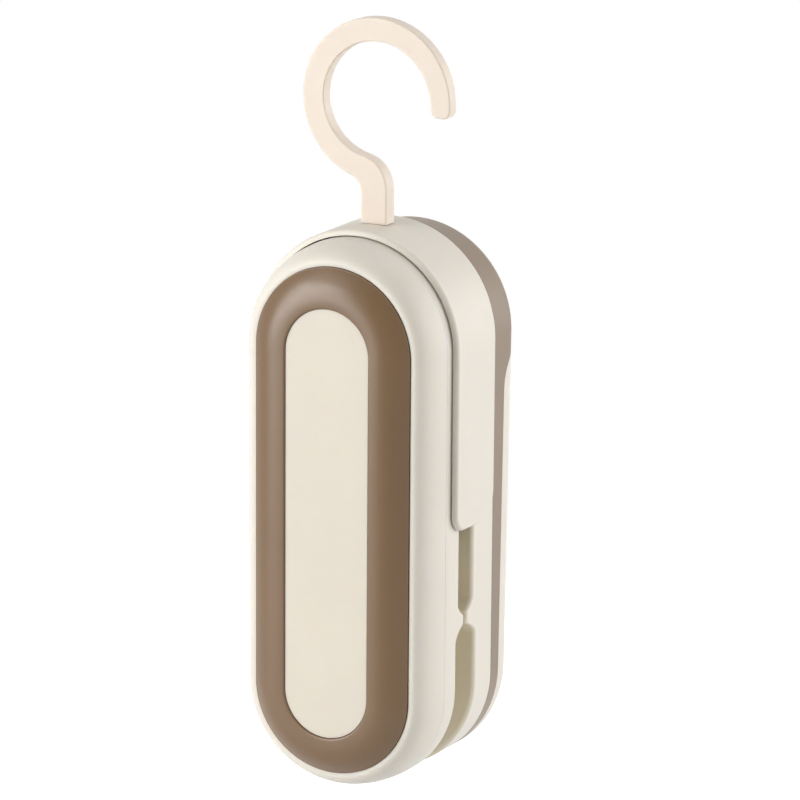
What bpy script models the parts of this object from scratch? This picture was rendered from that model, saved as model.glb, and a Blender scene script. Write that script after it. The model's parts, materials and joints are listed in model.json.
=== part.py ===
"""Handheld bag heat sealer.

Metres, +Z up. X runs to the right seen from the front, Y runs back. The origin is the point that
the sealer hangs from: the top of the inside of its hook. Sizes below are in millimetres. Depths are
counted back from the front edge of the casing, and heights up from the middle of its outline.
"""

import math

import bmesh
import bpy
from mathutils import Matrix, Vector

MM = 0.001

# Outline of the casing: straight sides with round ends
ARC_OFFSET = 36.4
CASE_HALF_WIDTH = 22.35
RING_HALF_WIDTH = 18.0
PANEL_HALF_WIDTH = 9.8

# Walls and clearances
WALL = 1.8
GAP = 0.3
SEAM = 0.2

# Depths, front to back
PANEL_PROUD = 3.1
POCKET_DEPTH = 1.6
LIP_WIDTH = 0.6
FLARE_DEPTH = 10.5
LEVER_SPLIT = 8.3
LEVER_DEPTH = 14.2
LEVER_BACK_WALL = 2.4
JAW_OPENING = 6.5
BASE_DEPTH = 9.2
BAND_DEPTH = 4.3
DOOR_DEPTH = 6.3
REAR_ROUND = 4.5
REAR_LEAN = 1.15

# Ridges across both jaws, and the step back below them
RIDGE_Z = -22.0
RIDGE_FLAT = 2.8
RIDGE_GAP = 1.45
LEVER_RIDGE = 2.45
LEVER_RAMP_ABOVE = 2.1
LEVER_RAMP_BELOW = 4.1
LEVER_RELIEF = 1.0
BASE_RAMP_ABOVE = 1.7
BASE_RAMP_BELOW = 1.0
BASE_RELIEF = 1.25
RUN_OUT_FULLNESS = 2.0

# Sealing strips let into the ridges
STRIP_HALF_LENGTH = 18.0
PAD_WIDTH = 2.0
PAD_THICKNESS = 2.0
PAD_PROUD = 0.2
HOLDER_WIDTH = 2.2
HOLDER_THICKNESS = 1.5
RIBBON_WIDTH = 1.6
RIBBON_THICKNESS = 0.3
COVER_THICKNESS = 0.3
COVER_PROUD = 0.2

# Collar over the hinge
COLLAR_THICKNESS = 1.2
COLLAR_OVERLAP = 3.2
COLLAR_WIDTH = 16.3
COLLAR_END_Z = -2.3
COLLAR_FRONT_CORNER = 4.2
COLLAR_REAR_CORNER = 6.0
COLLAR_RIM_ROUND = 0.9
SNAP_Z = 6.0
SNAP_SETBACK = 3.2
SNAP_HALF_LENGTH = 4.0
SNAP_HALF_WIDTH = 1.2
SNAP_GRIP = 0.8

# Hinge of the lever
HINGE_Z = 46.0
PIN_RADIUS = 1.25
PIN_CLEARANCE = 0.15
LUG_RADIUS = 2.8
LUG_WIDTH = 2.7
LEVER_LUG_X = 9.3

# Return spring and switch, between the jaws and behind the collar
SPRING_Z = 24.0
SPRING_RADIUS = 3.2
SPRING_WIRE = 0.7
SPRING_TURNS = 4
SPRING_BOSS_RADIUS = 2.2
SPRING_BOSS_HEIGHT = 1.2
SWITCH_Z = 6.0
SWITCH_SIZE = 6.0
SWITCH_HEIGHT = 2.8
BUTTON_RADIUS = 1.75
BUTTON_PROUD = 0.9
BUTTON_LENGTH = 1.3
BUTTON_TRAVEL = 0.75
POST_RADIUS = 1.5

# Hook
HOOK_RADIUS = 14.6
HOOK_STRIP = 4.8
HOOK_THICKNESS = 4.05
HOOK_TIP_ANGLE = -12.0
HOOK_TIP_ROUND = 1.5
HOOK_FILLET = 4.0
HOOK_SHOULDER = 6.0
HOOK_STEM_HALF = 2.6
HOOK_NECK = 9.2
HOOK_EDGE = 0.4
PEG_RADIUS = 1.9
PEG_HEAD = 0.5
PEG_HEAD_HEIGHT = 1.0
CLIP_WIDTH = 1.6
CLIP_HEIGHT = 1.4
CLIP_OPENING = 70.0

# Battery box and cells
CELL_RADIUS = 7.25
CELL_LENGTH = 50.5
CELL_NUB_RADIUS = 2.75
CELL_NUB_LENGTH = 1.3
CELL_SPACING = 15.1
BOX_MIDDLE_Z = 6.5
BOX_WALL = 1.0
BOX_END_WALL = 1.4
CONTACT_THICKNESS = 0.4
CONTACT_SIZE = 9.0
CONTACT_SPRING_LENGTH = 4.0
CONTACT_SPRING_RADIUS = 3.0
CONTACT_SPRING_TOP = 1.8
CONTACT_SPRING_TURNS = 3
CONTACT_WIRE = 0.6

# Battery door
DOOR_SHOULDER_Z = 23.3
DOOR_CURVE = 10.2
CATCH_PLACES = 3
CATCH_TOP_Z = 12.0
CATCH_PITCH = 18.0
CATCH_LENGTH = 6.0
CATCH_THICKNESS = 1.0
KEEPER_WIDTH = 0.7
KEEPER_DEPTH = 1.0
GROOVES = 5
GROOVE_TOP_Z = -26.0
GROOVE_PITCH = 2.4
GROOVE_WIDTH = 1.4
GROOVE_DEPTH = 0.6
GROOVE_HALF_LENGTH = 8.0

# Screws
SCREW_RADIUS = 1.0
SCREW_HEAD_RADIUS = 2.0
SCREW_HEAD_HEIGHT = 1.2
SCREW_HEAD_ROUND = 0.5
SCREW_TIP_RADIUS = 0.33
SCREW_LENGTH = 7.0
BOSS_RADIUS = 2.8
LEVER_SCREW_HIGH_X = 13.0
LEVER_SCREW_HIGH_Z = 30.0
LEVER_SCREW_LOW_X = 11.0
LEVER_SCREW_LOW_Z = -42.0
BASE_SCREW_X = 10.0
BASE_SCREW_Z = -45.0
TAB_THICKNESS = 2.0
TAB_HALF_WIDTH = 3.0
TONGUE_X = 8.0
TONGUE_HALF_WIDTH = 2.5
TONGUE_THICKNESS = 2.2
TONGUE_REACH = 4.5

# Lead wires, in the side room beside the battery tray and in grooves to the switch
WIRE_RADIUS = 0.6
WIRE_BEND = 1.8
BEND_SHARE = 0.45
WIRE_SPREAD = 1.6
WIRE_SETBACK = 3.9

# How finely round shapes are divided
ARC_STEPS = 18
CORNER_STEPS = 8
ROUND_STEPS = 5
RAMP_STEPS = 4
FLARE_STEPS = 6
FLARE_CROWDING = 1.6
CROWN_STEPS = 7
CROWN_FULLNESS = 2.4
HOOK_STEPS = 30
BEND_STEPS = 3
COIL_STEPS = 9
FINE_SIDES = 24
PLAIN_SIDES = 20
SMALL_SIDES = 16
HOLE_SIDES = 12
WIRE_ROUNDNESS = 1
EDGE_STEPS = 2
EDGE_ANGLE = 60.0
SHARP_ANGLE = 35.0
MERGE_DISTANCE = 0.005
PIVOT_MARK = 5.0

# Depths and heights that follow from the sizes above
BASE_FRONT = LEVER_DEPTH + JAW_OPENING
BAND_Y = BASE_FRONT + BASE_DEPTH
DOOR_Y = BAND_Y + BAND_DEPTH
REAR_Y = DOOR_Y + DOOR_DEPTH
BASE_FLOOR = BASE_FRONT + WALL
LEVER_FLOOR = LEVER_DEPTH - LEVER_RELIEF - LEVER_BACK_WALL
LEVER_TIP = LEVER_DEPTH + LEVER_RIDGE
BASE_TIP = LEVER_TIP + RIDGE_GAP
HINGE_Y = LEVER_DEPTH + JAW_OPENING / 2
COLLAR_FRONT = LEVER_DEPTH - COLLAR_OVERLAP
COLLAR_REAR = COLLAR_FRONT + COLLAR_WIDTH
COLLAR_INNER = CASE_HALF_WIDTH + GAP
COLLAR_OUTER = COLLAR_INNER + COLLAR_THICKNESS
COLLAR_TOP = ARC_OFFSET + COLLAR_OUTER
PIN_RISE = HINGE_Z + PIN_RADIUS - ARC_OFFSET
PIN_HALF_LENGTH = math.sqrt(COLLAR_INNER**2 - PIN_RISE**2) - GAP
HOOK_Y = (COLLAR_FRONT + COLLAR_REAR) / 2
HOOK_INNER = HOOK_RADIUS - HOOK_STRIP / 2
HOOK_OUTER = HOOK_RADIUS + HOOK_STRIP / 2
STEM_BOTTOM = COLLAR_TOP + SEAM
LOOP_Z = STEM_BOTTOM + HOOK_NECK + HOOK_OUTER
HANG_Z = LOOP_Z + HOOK_INNER
INNER_HALF_WIDTH = CASE_HALF_WIDTH - WALL
SLOPE = math.tan(math.radians(REAR_LEAN))
TAB_BACK = DOOR_Y - SLOPE * (ARC_OFFSET + CASE_HALF_WIDTH) - GAP
CELL_Y = BASE_FLOOR + GAP + CELL_RADIUS + SEAM
CELL_ROOM = CELL_LENGTH + CONTACT_SPRING_LENGTH + 3 * GAP
CELL_LOW = BOX_MIDDLE_Z - CELL_ROOM / 2
CELL_HIGH = BOX_MIDDLE_Z + CELL_ROOM / 2
CONTACT_ROOM = CONTACT_THICKNESS + GAP
BOX_LOW = CELL_LOW - CONTACT_ROOM - BOX_END_WALL
BOX_HIGH = CELL_HIGH + CONTACT_ROOM + BOX_END_WALL
BOX_HALF_WIDTH = CELL_SPACING / 2 + CELL_RADIUS + GAP + BOX_WALL
STRIP_STACK = COVER_THICKNESS + RIBBON_THICKNESS + HOLDER_THICKNESS + 3 * GAP - COVER_PROUD
WIRE_X = BOX_HALF_WIDTH + 2 * GAP + WIRE_RADIUS
WIRE_Y = BASE_FLOOR + WIRE_SETBACK
WIRE_GROOVE_Y = BASE_FRONT + GAP + WIRE_RADIUS
WIRE_LOW_Z = BOX_LOW - GAP - 2 * WIRE_RADIUS
LEVER_SCREW_PLACES = (
    (-LEVER_SCREW_HIGH_X, LEVER_SCREW_HIGH_Z),
    (LEVER_SCREW_HIGH_X, LEVER_SCREW_HIGH_Z),
    (-LEVER_SCREW_LOW_X, LEVER_SCREW_LOW_Z),
    (LEVER_SCREW_LOW_X, LEVER_SCREW_LOW_Z),
)
BASE_SCREW_PLACES = ((-BASE_SCREW_X, BASE_SCREW_Z), (BASE_SCREW_X, BASE_SCREW_Z))

for old in list(bpy.data.objects):
    bpy.data.objects.remove(old, do_unlink=True)

sealer = bpy.data.collections.new("bag_heat_sealer")
cutters = bpy.data.collections.new("cutters")
bpy.context.scene.collection.children.link(sealer)
bpy.context.scene.collection.children.link(cutters)


def pivot(name, x, y, z, parent=None):
    """An empty on a joint's axis; its place is given in the casing's own measures."""
    empty = bpy.data.objects.new(name, None)
    empty.empty_display_size = PIVOT_MARK * MM
    sealer.objects.link(empty)
    empty.location = Vector((x, y, z)) * MM
    if parent:
        empty.parent = parent
    return empty


ROOT = pivot("sealer_frame", 0.0, -HOOK_Y, -HANG_Z)
LEVER_AXIS = pivot("lever_axis", 0.0, HINGE_Y, HINGE_Z, ROOT)
HOOK_AXIS = pivot("hook_axis", 0.0, HOOK_Y, COLLAR_TOP, ROOT)
DOOR_WAY = pivot("door_way", 0.0, REAR_Y, 0.0, ROOT)
BUTTON_WAY = pivot("button_way", 0.0, HINGE_Y, SWITCH_Z, ROOT)


def finish(name, colour, roughness, metallic=0.0):
    """A plain coloured material."""
    material = bpy.data.materials.new(name)
    material.use_nodes = True
    shader = material.node_tree.nodes["Principled BSDF"]
    shader.inputs["Base Color"].default_value = (*colour, 1.0)
    shader.inputs["Roughness"].default_value = roughness
    shader.inputs["Metallic"].default_value = metallic
    return material


CREAM = finish("cream_plastic", (0.83, 0.77, 0.65), 0.45)
PALE_CREAM = finish("pale_cream_plastic", (0.93, 0.86, 0.74), 0.4)
BROWN = finish("brown_plastic", (0.22, 0.14, 0.09), 0.5)
BROWN_GREY = finish("grey_brown_plastic", (0.33, 0.26, 0.21), 0.5)
STEEL = finish("steel", (0.62, 0.62, 0.6), 0.3, 1.0)
BRASS = finish("plated_contact", (0.72, 0.68, 0.55), 0.35, 1.0)
SILICONE = finish("silicone", (0.75, 0.72, 0.66), 0.7)
HEATPROOF = finish("heatproof_board", (0.5, 0.36, 0.2), 0.7)
COVER = finish("non_stick_cloth", (0.45, 0.33, 0.2), 0.6)
BLACK = finish("black_plastic", (0.03, 0.03, 0.03), 0.5)
CELL_SKIN = finish("cell_jacket", (0.12, 0.2, 0.3), 0.35)
WIRE_RED = finish("red_wire", (0.5, 0.04, 0.03), 0.5)
WIRE_BLACK = finish("black_wire", (0.03, 0.03, 0.03), 0.5)


def part(name, mesh, material, carrier=ROOT):
    """One named piece whose mesh is drawn in the casing's measures and hung on its carrier."""
    piece = bpy.data.objects.new(name, mesh)
    sealer.objects.link(piece)
    piece.parent = carrier
    if carrier is not ROOT:
        piece.location = -carrier.location
    mesh.materials.clear()
    mesh.materials.append(material)
    mesh.shade_smooth()
    mesh.set_sharp_from_angle(angle=math.radians(SHARP_ANGLE))
    return piece


def combine(piece, mesh, operation):
    """Cuts, joins or keeps the common part of a piece and a hidden tool shape."""
    tool = bpy.data.objects.new(f"{piece.name}_{operation.lower()}", mesh)
    cutters.objects.link(tool)
    tool.parent = ROOT
    tool.hide_render = True
    tool.display_type = "WIRE"
    modifier = piece.modifiers.new(tool.name, "BOOLEAN")
    modifier.operation = operation
    modifier.solver = "EXACT"
    modifier.object = tool


def mesh_of(bm, name):
    """Turns an edit mesh into a mesh with its faces pointing out."""
    bmesh.ops.recalc_face_normals(bm, faces=bm.faces)
    mesh = bpy.data.meshes.new(name)
    bm.to_mesh(mesh)
    bm.free()
    return mesh


def merged(*meshes):
    """Several tool shapes in one mesh."""
    bm = bmesh.new()
    for mesh in meshes:
        bm.from_mesh(mesh)
    return mesh_of(bm, "merged")


def stadium(half_width, y, slope=0.0):
    """The casing's outline at one depth, leaning back by a slope: round ends and straight sides."""
    points = []
    for end, centre in ((0, ARC_OFFSET), (1, -ARC_OFFSET)):
        for step in range(ARC_STEPS + 1):
            angle = math.pi * (end + step / ARC_STEPS)
            x = half_width * math.cos(angle)
            z = centre + half_width * math.sin(angle)
            points.append(Vector((x, y + slope * z, z)) * MM)
    return points


def loft(stations, hoop=False):
    """Skins casing outlines from (half width, depth, slope) stations; a hoop joins last to first."""
    bm = bmesh.new()
    rings = [[bm.verts.new(point) for point in stadium(*station)] for station in stations]
    pairs = list(zip(rings, rings[1:]))
    if hoop:
        pairs.append((rings[-1], rings[0]))
    else:
        bm.faces.new(rings[0])
        bm.faces.new(rings[-1])
    for near, far in pairs:
        count = len(near)
        for index in range(count):
            after = (index + 1) % count
            bm.faces.new((near[index], near[after], far[after], far[index]))
    return mesh_of(bm, "loft")


def prism(outline, low, high, axis):
    """A flat outline with thickness along X (outline in Y, Z), Y (X, Z) or Z (X, Y)."""
    curve = bpy.data.curves.new("outline", "CURVE")
    curve.dimensions = "2D"
    curve.fill_mode = "BOTH"
    curve.extrude = (high - low) / 2 * MM
    spline = curve.splines.new("POLY")
    spline.points.add(len(outline) - 1)
    spline.use_cyclic_u = True
    for point, (a, b) in zip(spline.points, outline):
        point.co = (a * MM, b * MM, 0.0, 1.0)
    flat = bpy.data.objects.new("outline", curve)
    cutters.objects.link(flat)
    graph = bpy.context.evaluated_depsgraph_get()
    mesh = bpy.data.meshes.new_from_object(flat.evaluated_get(graph))
    bpy.data.objects.remove(flat, do_unlink=True)
    turn = {
        "X": Matrix(((0, 0, 1), (1, 0, 0), (0, 1, 0))),
        "Y": Matrix(((1, 0, 0), (0, 0, -1), (0, 1, 0))),
        "Z": Matrix.Identity(3),
    }[axis].to_4x4()
    middle = {"X": (1, 0, 0), "Y": (0, 1, 0), "Z": (0, 0, 1)}[axis]
    shift = Matrix.Translation(Vector(middle) * ((low + high) / 2 * MM))
    bm = bmesh.new()
    bm.from_mesh(mesh)
    bmesh.ops.remove_doubles(bm, verts=bm.verts, dist=MERGE_DISTANCE * MM)
    bm.transform(shift @ turn)
    return mesh_of(bm, "prism")


def box(x_low, x_high, y_low, y_high, z_low, z_high):
    """A block between two corners."""
    low = Vector((x_low, y_low, z_low)) * MM
    high = Vector((x_high, y_high, z_high)) * MM
    bm = bmesh.new()
    size = Matrix.Diagonal((*(high - low), 1.0))
    bmesh.ops.create_cube(bm, size=1.0, matrix=Matrix.Translation((low + high) / 2) @ size)
    return mesh_of(bm, "box")


def rod(radius, start, end, sides=PLAIN_SIDES):
    """A round bar between two points."""
    start = Vector(start) * MM
    end = Vector(end) * MM
    along = end - start
    turn = Vector((0, 0, 1)).rotation_difference(along).to_matrix().to_4x4()
    place = Matrix.Translation((start + end) / 2) @ turn
    bm = bmesh.new()
    bmesh.ops.create_cone(
        bm,
        cap_ends=True,
        segments=sides,
        radius1=radius * MM,
        radius2=radius * MM,
        depth=along.length,
        matrix=place,
    )
    return mesh_of(bm, "rod")


def ease(share):
    """An S curve, level at both ends."""
    return share * share * (3 - 2 * share)


def run_out(share):
    """A curve that leaves at a corner and runs out level."""
    return 1 - (1 - share) ** RUN_OUT_FULLNESS


def ramp(start, end, curve):
    """Points from start to end: even steps in the second measure, a curve in the first."""
    points = []
    for step in range(RAMP_STEPS + 1):
        share = step / RAMP_STEPS
        across = start[0] + (end[0] - start[0]) * curve(share)
        along = start[1] + (end[1] - start[1]) * share
        points.append((across, along))
    return points


def arc(centre, radius, start, end, steps):
    """Points of a circular arc between two angles in degrees."""
    points = []
    for step in range(steps + 1):
        angle = math.radians(start + (end - start) * step / steps)
        points.append((centre[0] + radius * math.cos(angle), centre[1] + radius * math.sin(angle)))
    return points


def turned(name, profile, material, place, along, carrier=ROOT, steps=SMALL_SIDES):
    """A turned piece: (radius, height) points from top to bottom, spun about its own axis."""
    mesh = bpy.data.meshes.new(name)
    points = [(radius * MM, 0.0, height * MM) for radius, height in profile]
    edges = [(index, index + 1) for index in range(len(points) - 1)]
    mesh.from_pydata(points, edges, [])
    piece = bpy.data.objects.new(name, mesh)
    sealer.objects.link(piece)
    piece.parent = carrier
    piece.location = Vector(place) * MM
    if carrier is not ROOT:
        piece.location -= carrier.location
    piece.rotation_euler = Vector((0, 0, 1)).rotation_difference(Vector(along)).to_euler()
    spin = piece.modifiers.new("spin", "SCREW")
    spin.steps = steps
    spin.render_steps = steps
    spin.use_merge_vertices = True
    spin.merge_threshold = MERGE_DISTANCE * MM
    spin.use_smooth_shade = True
    mesh.materials.append(material)
    return piece


def wire(name, points, radius, material):
    """A round wire along points, with closed ends."""
    curve = bpy.data.curves.new(name, "CURVE")
    curve.dimensions = "3D"
    curve.bevel_depth = radius * MM
    curve.bevel_resolution = WIRE_ROUNDNESS
    curve.use_fill_caps = True
    spline = curve.splines.new("POLY")
    spline.points.add(len(points) - 1)
    for point, place in zip(spline.points, points):
        point.co = (*(Vector(place) * MM), 1.0)
    curve.materials.append(material)
    piece = bpy.data.objects.new(name, curve)
    sealer.objects.link(piece)
    piece.parent = ROOT


def flare(depth):
    """Half width of the lever's wall at a depth: a quarter of an ellipse out to the full width."""
    start = RING_HALF_WIDTH + LIP_WIDTH
    reach = min(depth / FLARE_DEPTH, 1.0)
    return start + (CASE_HALF_WIDTH - start) * math.sqrt(1 - (1 - reach) ** 2)


def lever_edge():
    """Side view of the lever's rear edge, top to bottom: the ridge and the step below it."""
    flat_top = RIDGE_Z + RIDGE_FLAT / 2
    flat_low = RIDGE_Z - RIDGE_FLAT / 2
    upper = ramp((LEVER_DEPTH, flat_top + LEVER_RAMP_ABOVE), (LEVER_TIP, flat_top), ease)
    step_end = (LEVER_DEPTH - LEVER_RELIEF, flat_low - LEVER_RAMP_BELOW)
    return upper + ramp((LEVER_TIP, flat_low), step_end, run_out)


def base_edge():
    """Side view of the base's front edge, top to bottom."""
    flat_top = RIDGE_Z + RIDGE_FLAT / 2
    flat_low = RIDGE_Z - RIDGE_FLAT / 2
    upper = ramp((BASE_FRONT, flat_top + BASE_RAMP_ABOVE), (BASE_TIP, flat_top), ease)
    step_end = (BASE_FRONT + BASE_RELIEF, flat_low - BASE_RAMP_BELOW)
    return upper + ramp((BASE_TIP, flat_low), step_end, run_out)


def jaw_cutter(edge, far_side):
    """Everything on the far side of a jaw's edge."""
    reach = ARC_OFFSET + 2 * CASE_HALF_WIDTH
    outline = [(far_side, reach), (edge[0][0], reach)]
    outline += edge
    outline += [(edge[-1][0], -reach), (far_side, -reach)]
    return prism(outline, -2 * CASE_HALF_WIDTH, 2 * CASE_HALF_WIDTH, "X")


def lug(x_low, x_high, root_y):
    """A hinge ear: a flat tongue from a jaw's face, round about the pin."""
    toward = 0.0 if HINGE_Y > root_y else 180.0
    outline = arc((HINGE_Y, HINGE_Z), LUG_RADIUS, toward - 90, toward + 90, CORNER_STEPS)
    outline += [(root_y, outline[-1][1]), (root_y, outline[0][1])]
    return prism(outline, x_low, x_high, "X")


def mirrored_lugs(x_low, root_y):
    """The same ear on both sides."""
    x_high = x_low + LUG_WIDTH
    return merged(lug(x_low, x_high, root_y), lug(-x_high, -x_low, root_y))


def pin_bore():
    """The hole for the hinge pin through all the ears."""
    radius = PIN_RADIUS + PIN_CLEARANCE
    span = CASE_HALF_WIDTH
    return rod(radius, (-span, HINGE_Y, HINGE_Z), (span, HINGE_Y, HINGE_Z), SMALL_SIDES)


def screw(name, x, z, seat_y, backward, carrier):
    """A pan-head screw along Y; its head rests on seat_y and its shank runs away from the head."""
    profile = [
        (0.0, SCREW_HEAD_HEIGHT),
        (SCREW_HEAD_RADIUS - SCREW_HEAD_ROUND, SCREW_HEAD_HEIGHT),
        (SCREW_HEAD_RADIUS, SCREW_HEAD_HEIGHT - SCREW_HEAD_ROUND),
        (SCREW_HEAD_RADIUS, 0.0),
        (SCREW_RADIUS, 0.0),
        (SCREW_RADIUS, SCREW_RADIUS - SCREW_LENGTH),
        (SCREW_TIP_RADIUS, -SCREW_LENGTH),
        (0.0, -SCREW_LENGTH),
    ]
    direction = (0, 1, 0) if backward else (0, -1, 0)
    turned(name, profile, STEEL, (x, seat_y, z), direction, carrier, HOLE_SIDES)


def lever_face(z):
    """Depth of the lever's flat rear face at a height, away from the ridge."""
    return LEVER_DEPTH if z > RIDGE_Z else LEVER_DEPTH - LEVER_RELIEF


def make_lever():
    """Front shell, rear plate, ring, panel, pad and screws of the press lever."""
    pocket = RING_HALF_WIDTH + GAP
    split_front = LEVER_SPLIT - SEAM / 2
    split_rear = LEVER_SPLIT + SEAM / 2
    shell_floor = POCKET_DEPTH + WALL

    stations = [(pocket, POCKET_DEPTH), (pocket, GAP / 2)]
    for step in range(FLARE_STEPS + 1):
        depth = split_front * (step / FLARE_STEPS) ** FLARE_CROWDING
        stations.append((flare(depth), depth))
    stations += [
        (flare(split_front) - WALL, split_front),
        (flare(shell_floor + WALL) - WALL, shell_floor + WALL),
        (pocket - WALL, shell_floor),
    ]
    shell = part("lever_shell", loft(stations), CREAM, LEVER_AXIS)
    boss_root = POCKET_DEPTH + WALL / 2
    boss_end = LEVER_FLOOR - GAP
    bosses = []
    holes = []
    for x, z in LEVER_SCREW_PLACES:
        bosses.append(rod(BOSS_RADIUS, (x, boss_root, z), (x, boss_end, z)))
        hole_end = lever_face(z) - SCREW_HEAD_HEIGHT - SCREW_LENGTH - 2 * GAP
        holes.append(rod(SCREW_RADIUS + GAP, (x, hole_end, z), (x, LEVER_DEPTH, z), HOLE_SIDES))
    combine(shell, merged(*bosses), "UNION")
    combine(shell, merged(*holes), "DIFFERENCE")

    back = LEVER_TIP + WALL
    stations = [
        (flare(split_rear) - WALL, LEVER_FLOOR),
        (flare(split_rear) - WALL, split_rear),
        (flare(split_rear), split_rear),
        (flare((split_rear + FLARE_DEPTH) / 2), (split_rear + FLARE_DEPTH) / 2),
        (CASE_HALF_WIDTH, FLARE_DEPTH),
        (CASE_HALF_WIDTH, back),
    ]
    plate = part("lever_plate", loft(stations), CREAM, LEVER_AXIS)
    combine(plate, jaw_cutter(lever_edge(), back + WALL), "DIFFERENCE")
    root = LEVER_DEPTH - LEVER_BACK_WALL / 2
    button_front = BASE_FRONT - GAP - SWITCH_HEIGHT - BUTTON_PROUD
    post = rod(POST_RADIUS, (0, root, SWITCH_Z), (0, button_front - SEAM, SWITCH_Z), SMALL_SIDES)
    seat_end = LEVER_DEPTH + SPRING_BOSS_HEIGHT
    seat = rod(SPRING_BOSS_RADIUS, (0, root, SPRING_Z), (0, seat_end, SPRING_Z), SMALL_SIDES)
    combine(plate, merged(mirrored_lugs(LEVER_LUG_X, root), post, seat), "UNION")
    pad_floor = LEVER_TIP + PAD_PROUD - PAD_THICKNESS - GAP
    slot_length = STRIP_HALF_LENGTH + GAP
    slot_half = PAD_WIDTH / 2 + GAP
    slot = box(-slot_length, slot_length, pad_floor, back, RIDGE_Z - slot_half, RIDGE_Z + slot_half)
    holes = [slot, pin_bore()]
    for x, z in LEVER_SCREW_PLACES:
        face = lever_face(z)
        seat_y = face - SCREW_HEAD_HEIGHT - GAP
        shank = ((x, LEVER_FLOOR - WALL, z), (x, face + WALL, z))
        head = ((x, seat_y - GAP / 2, z), (x, face + WALL, z))
        holes.append(rod(SCREW_RADIUS + GAP, *shank, HOLE_SIDES))
        holes.append(rod(SCREW_HEAD_RADIUS + GAP, *head, SMALL_SIDES))
    for hole in holes:
        combine(plate, hole, "DIFFERENCE")

    ring_back = POCKET_DEPTH - GAP
    inner = PANEL_HALF_WIDTH + GAP / 2
    stations = [(inner, ring_back), (inner, GAP - PANEL_PROUD)]
    for step in range(CROWN_STEPS + 1):
        share = step / CROWN_STEPS
        rise = PANEL_PROUD * math.sqrt(1 - share**CROWN_FULLNESS)
        stations.append((inner + GAP + (RING_HALF_WIDTH - inner - GAP) * share, -rise))
    stations.append((RING_HALF_WIDTH, ring_back))
    part("grip_ring", loft(stations, hoop=True), BROWN, LEVER_AXIS)

    edge = PANEL_HALF_WIDTH - GAP / 2
    stations = [(edge - GAP, -PANEL_PROUD), (edge, GAP - PANEL_PROUD), (edge, ring_back)]
    part("front_panel", loft(stations), CREAM, LEVER_AXIS)

    pad_front = LEVER_TIP + PAD_PROUD - PAD_THICKNESS
    pad = box(
        -STRIP_HALF_LENGTH,
        STRIP_HALF_LENGTH,
        pad_front,
        pad_front + PAD_THICKNESS,
        RIDGE_Z - PAD_WIDTH / 2,
        RIDGE_Z + PAD_WIDTH / 2,
    )
    part("pressure_pad", pad, SILICONE, LEVER_AXIS)
    for number, (x, z) in enumerate(LEVER_SCREW_PLACES, 1):
        seat_y = lever_face(z) - SCREW_HEAD_HEIGHT - GAP / 2
        screw(f"lever_screw_{number}", x, z, seat_y, True, LEVER_AXIS)


def wire_ways():
    """Grooves and holes in the base for the lead wires."""
    radius = WIRE_RADIUS + GAP
    behind = BASE_FLOOR + BASE_RELIEF + WALL
    strip_floor = BASE_TIP + STRIP_STACK - WALL / 2
    groove = (BASE_FRONT - WALL, WIRE_GROOVE_Y + radius)
    ways = []
    for x in (-WIRE_X, WIRE_X):
        ways.append(rod(radius, (x, strip_floor, RIDGE_Z), (x, behind, RIDGE_Z), HOLE_SIDES))
    for z in (SWITCH_Z - WIRE_SPREAD, SWITCH_Z + WIRE_SPREAD):
        ways.append(rod(radius, (WIRE_X, WIRE_GROOVE_Y, z), (WIRE_X, behind, z), HOLE_SIDES))
        ways.append(box(0.0, WIRE_X + radius, *groove, z - radius, z + radius))
    return ways


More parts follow.
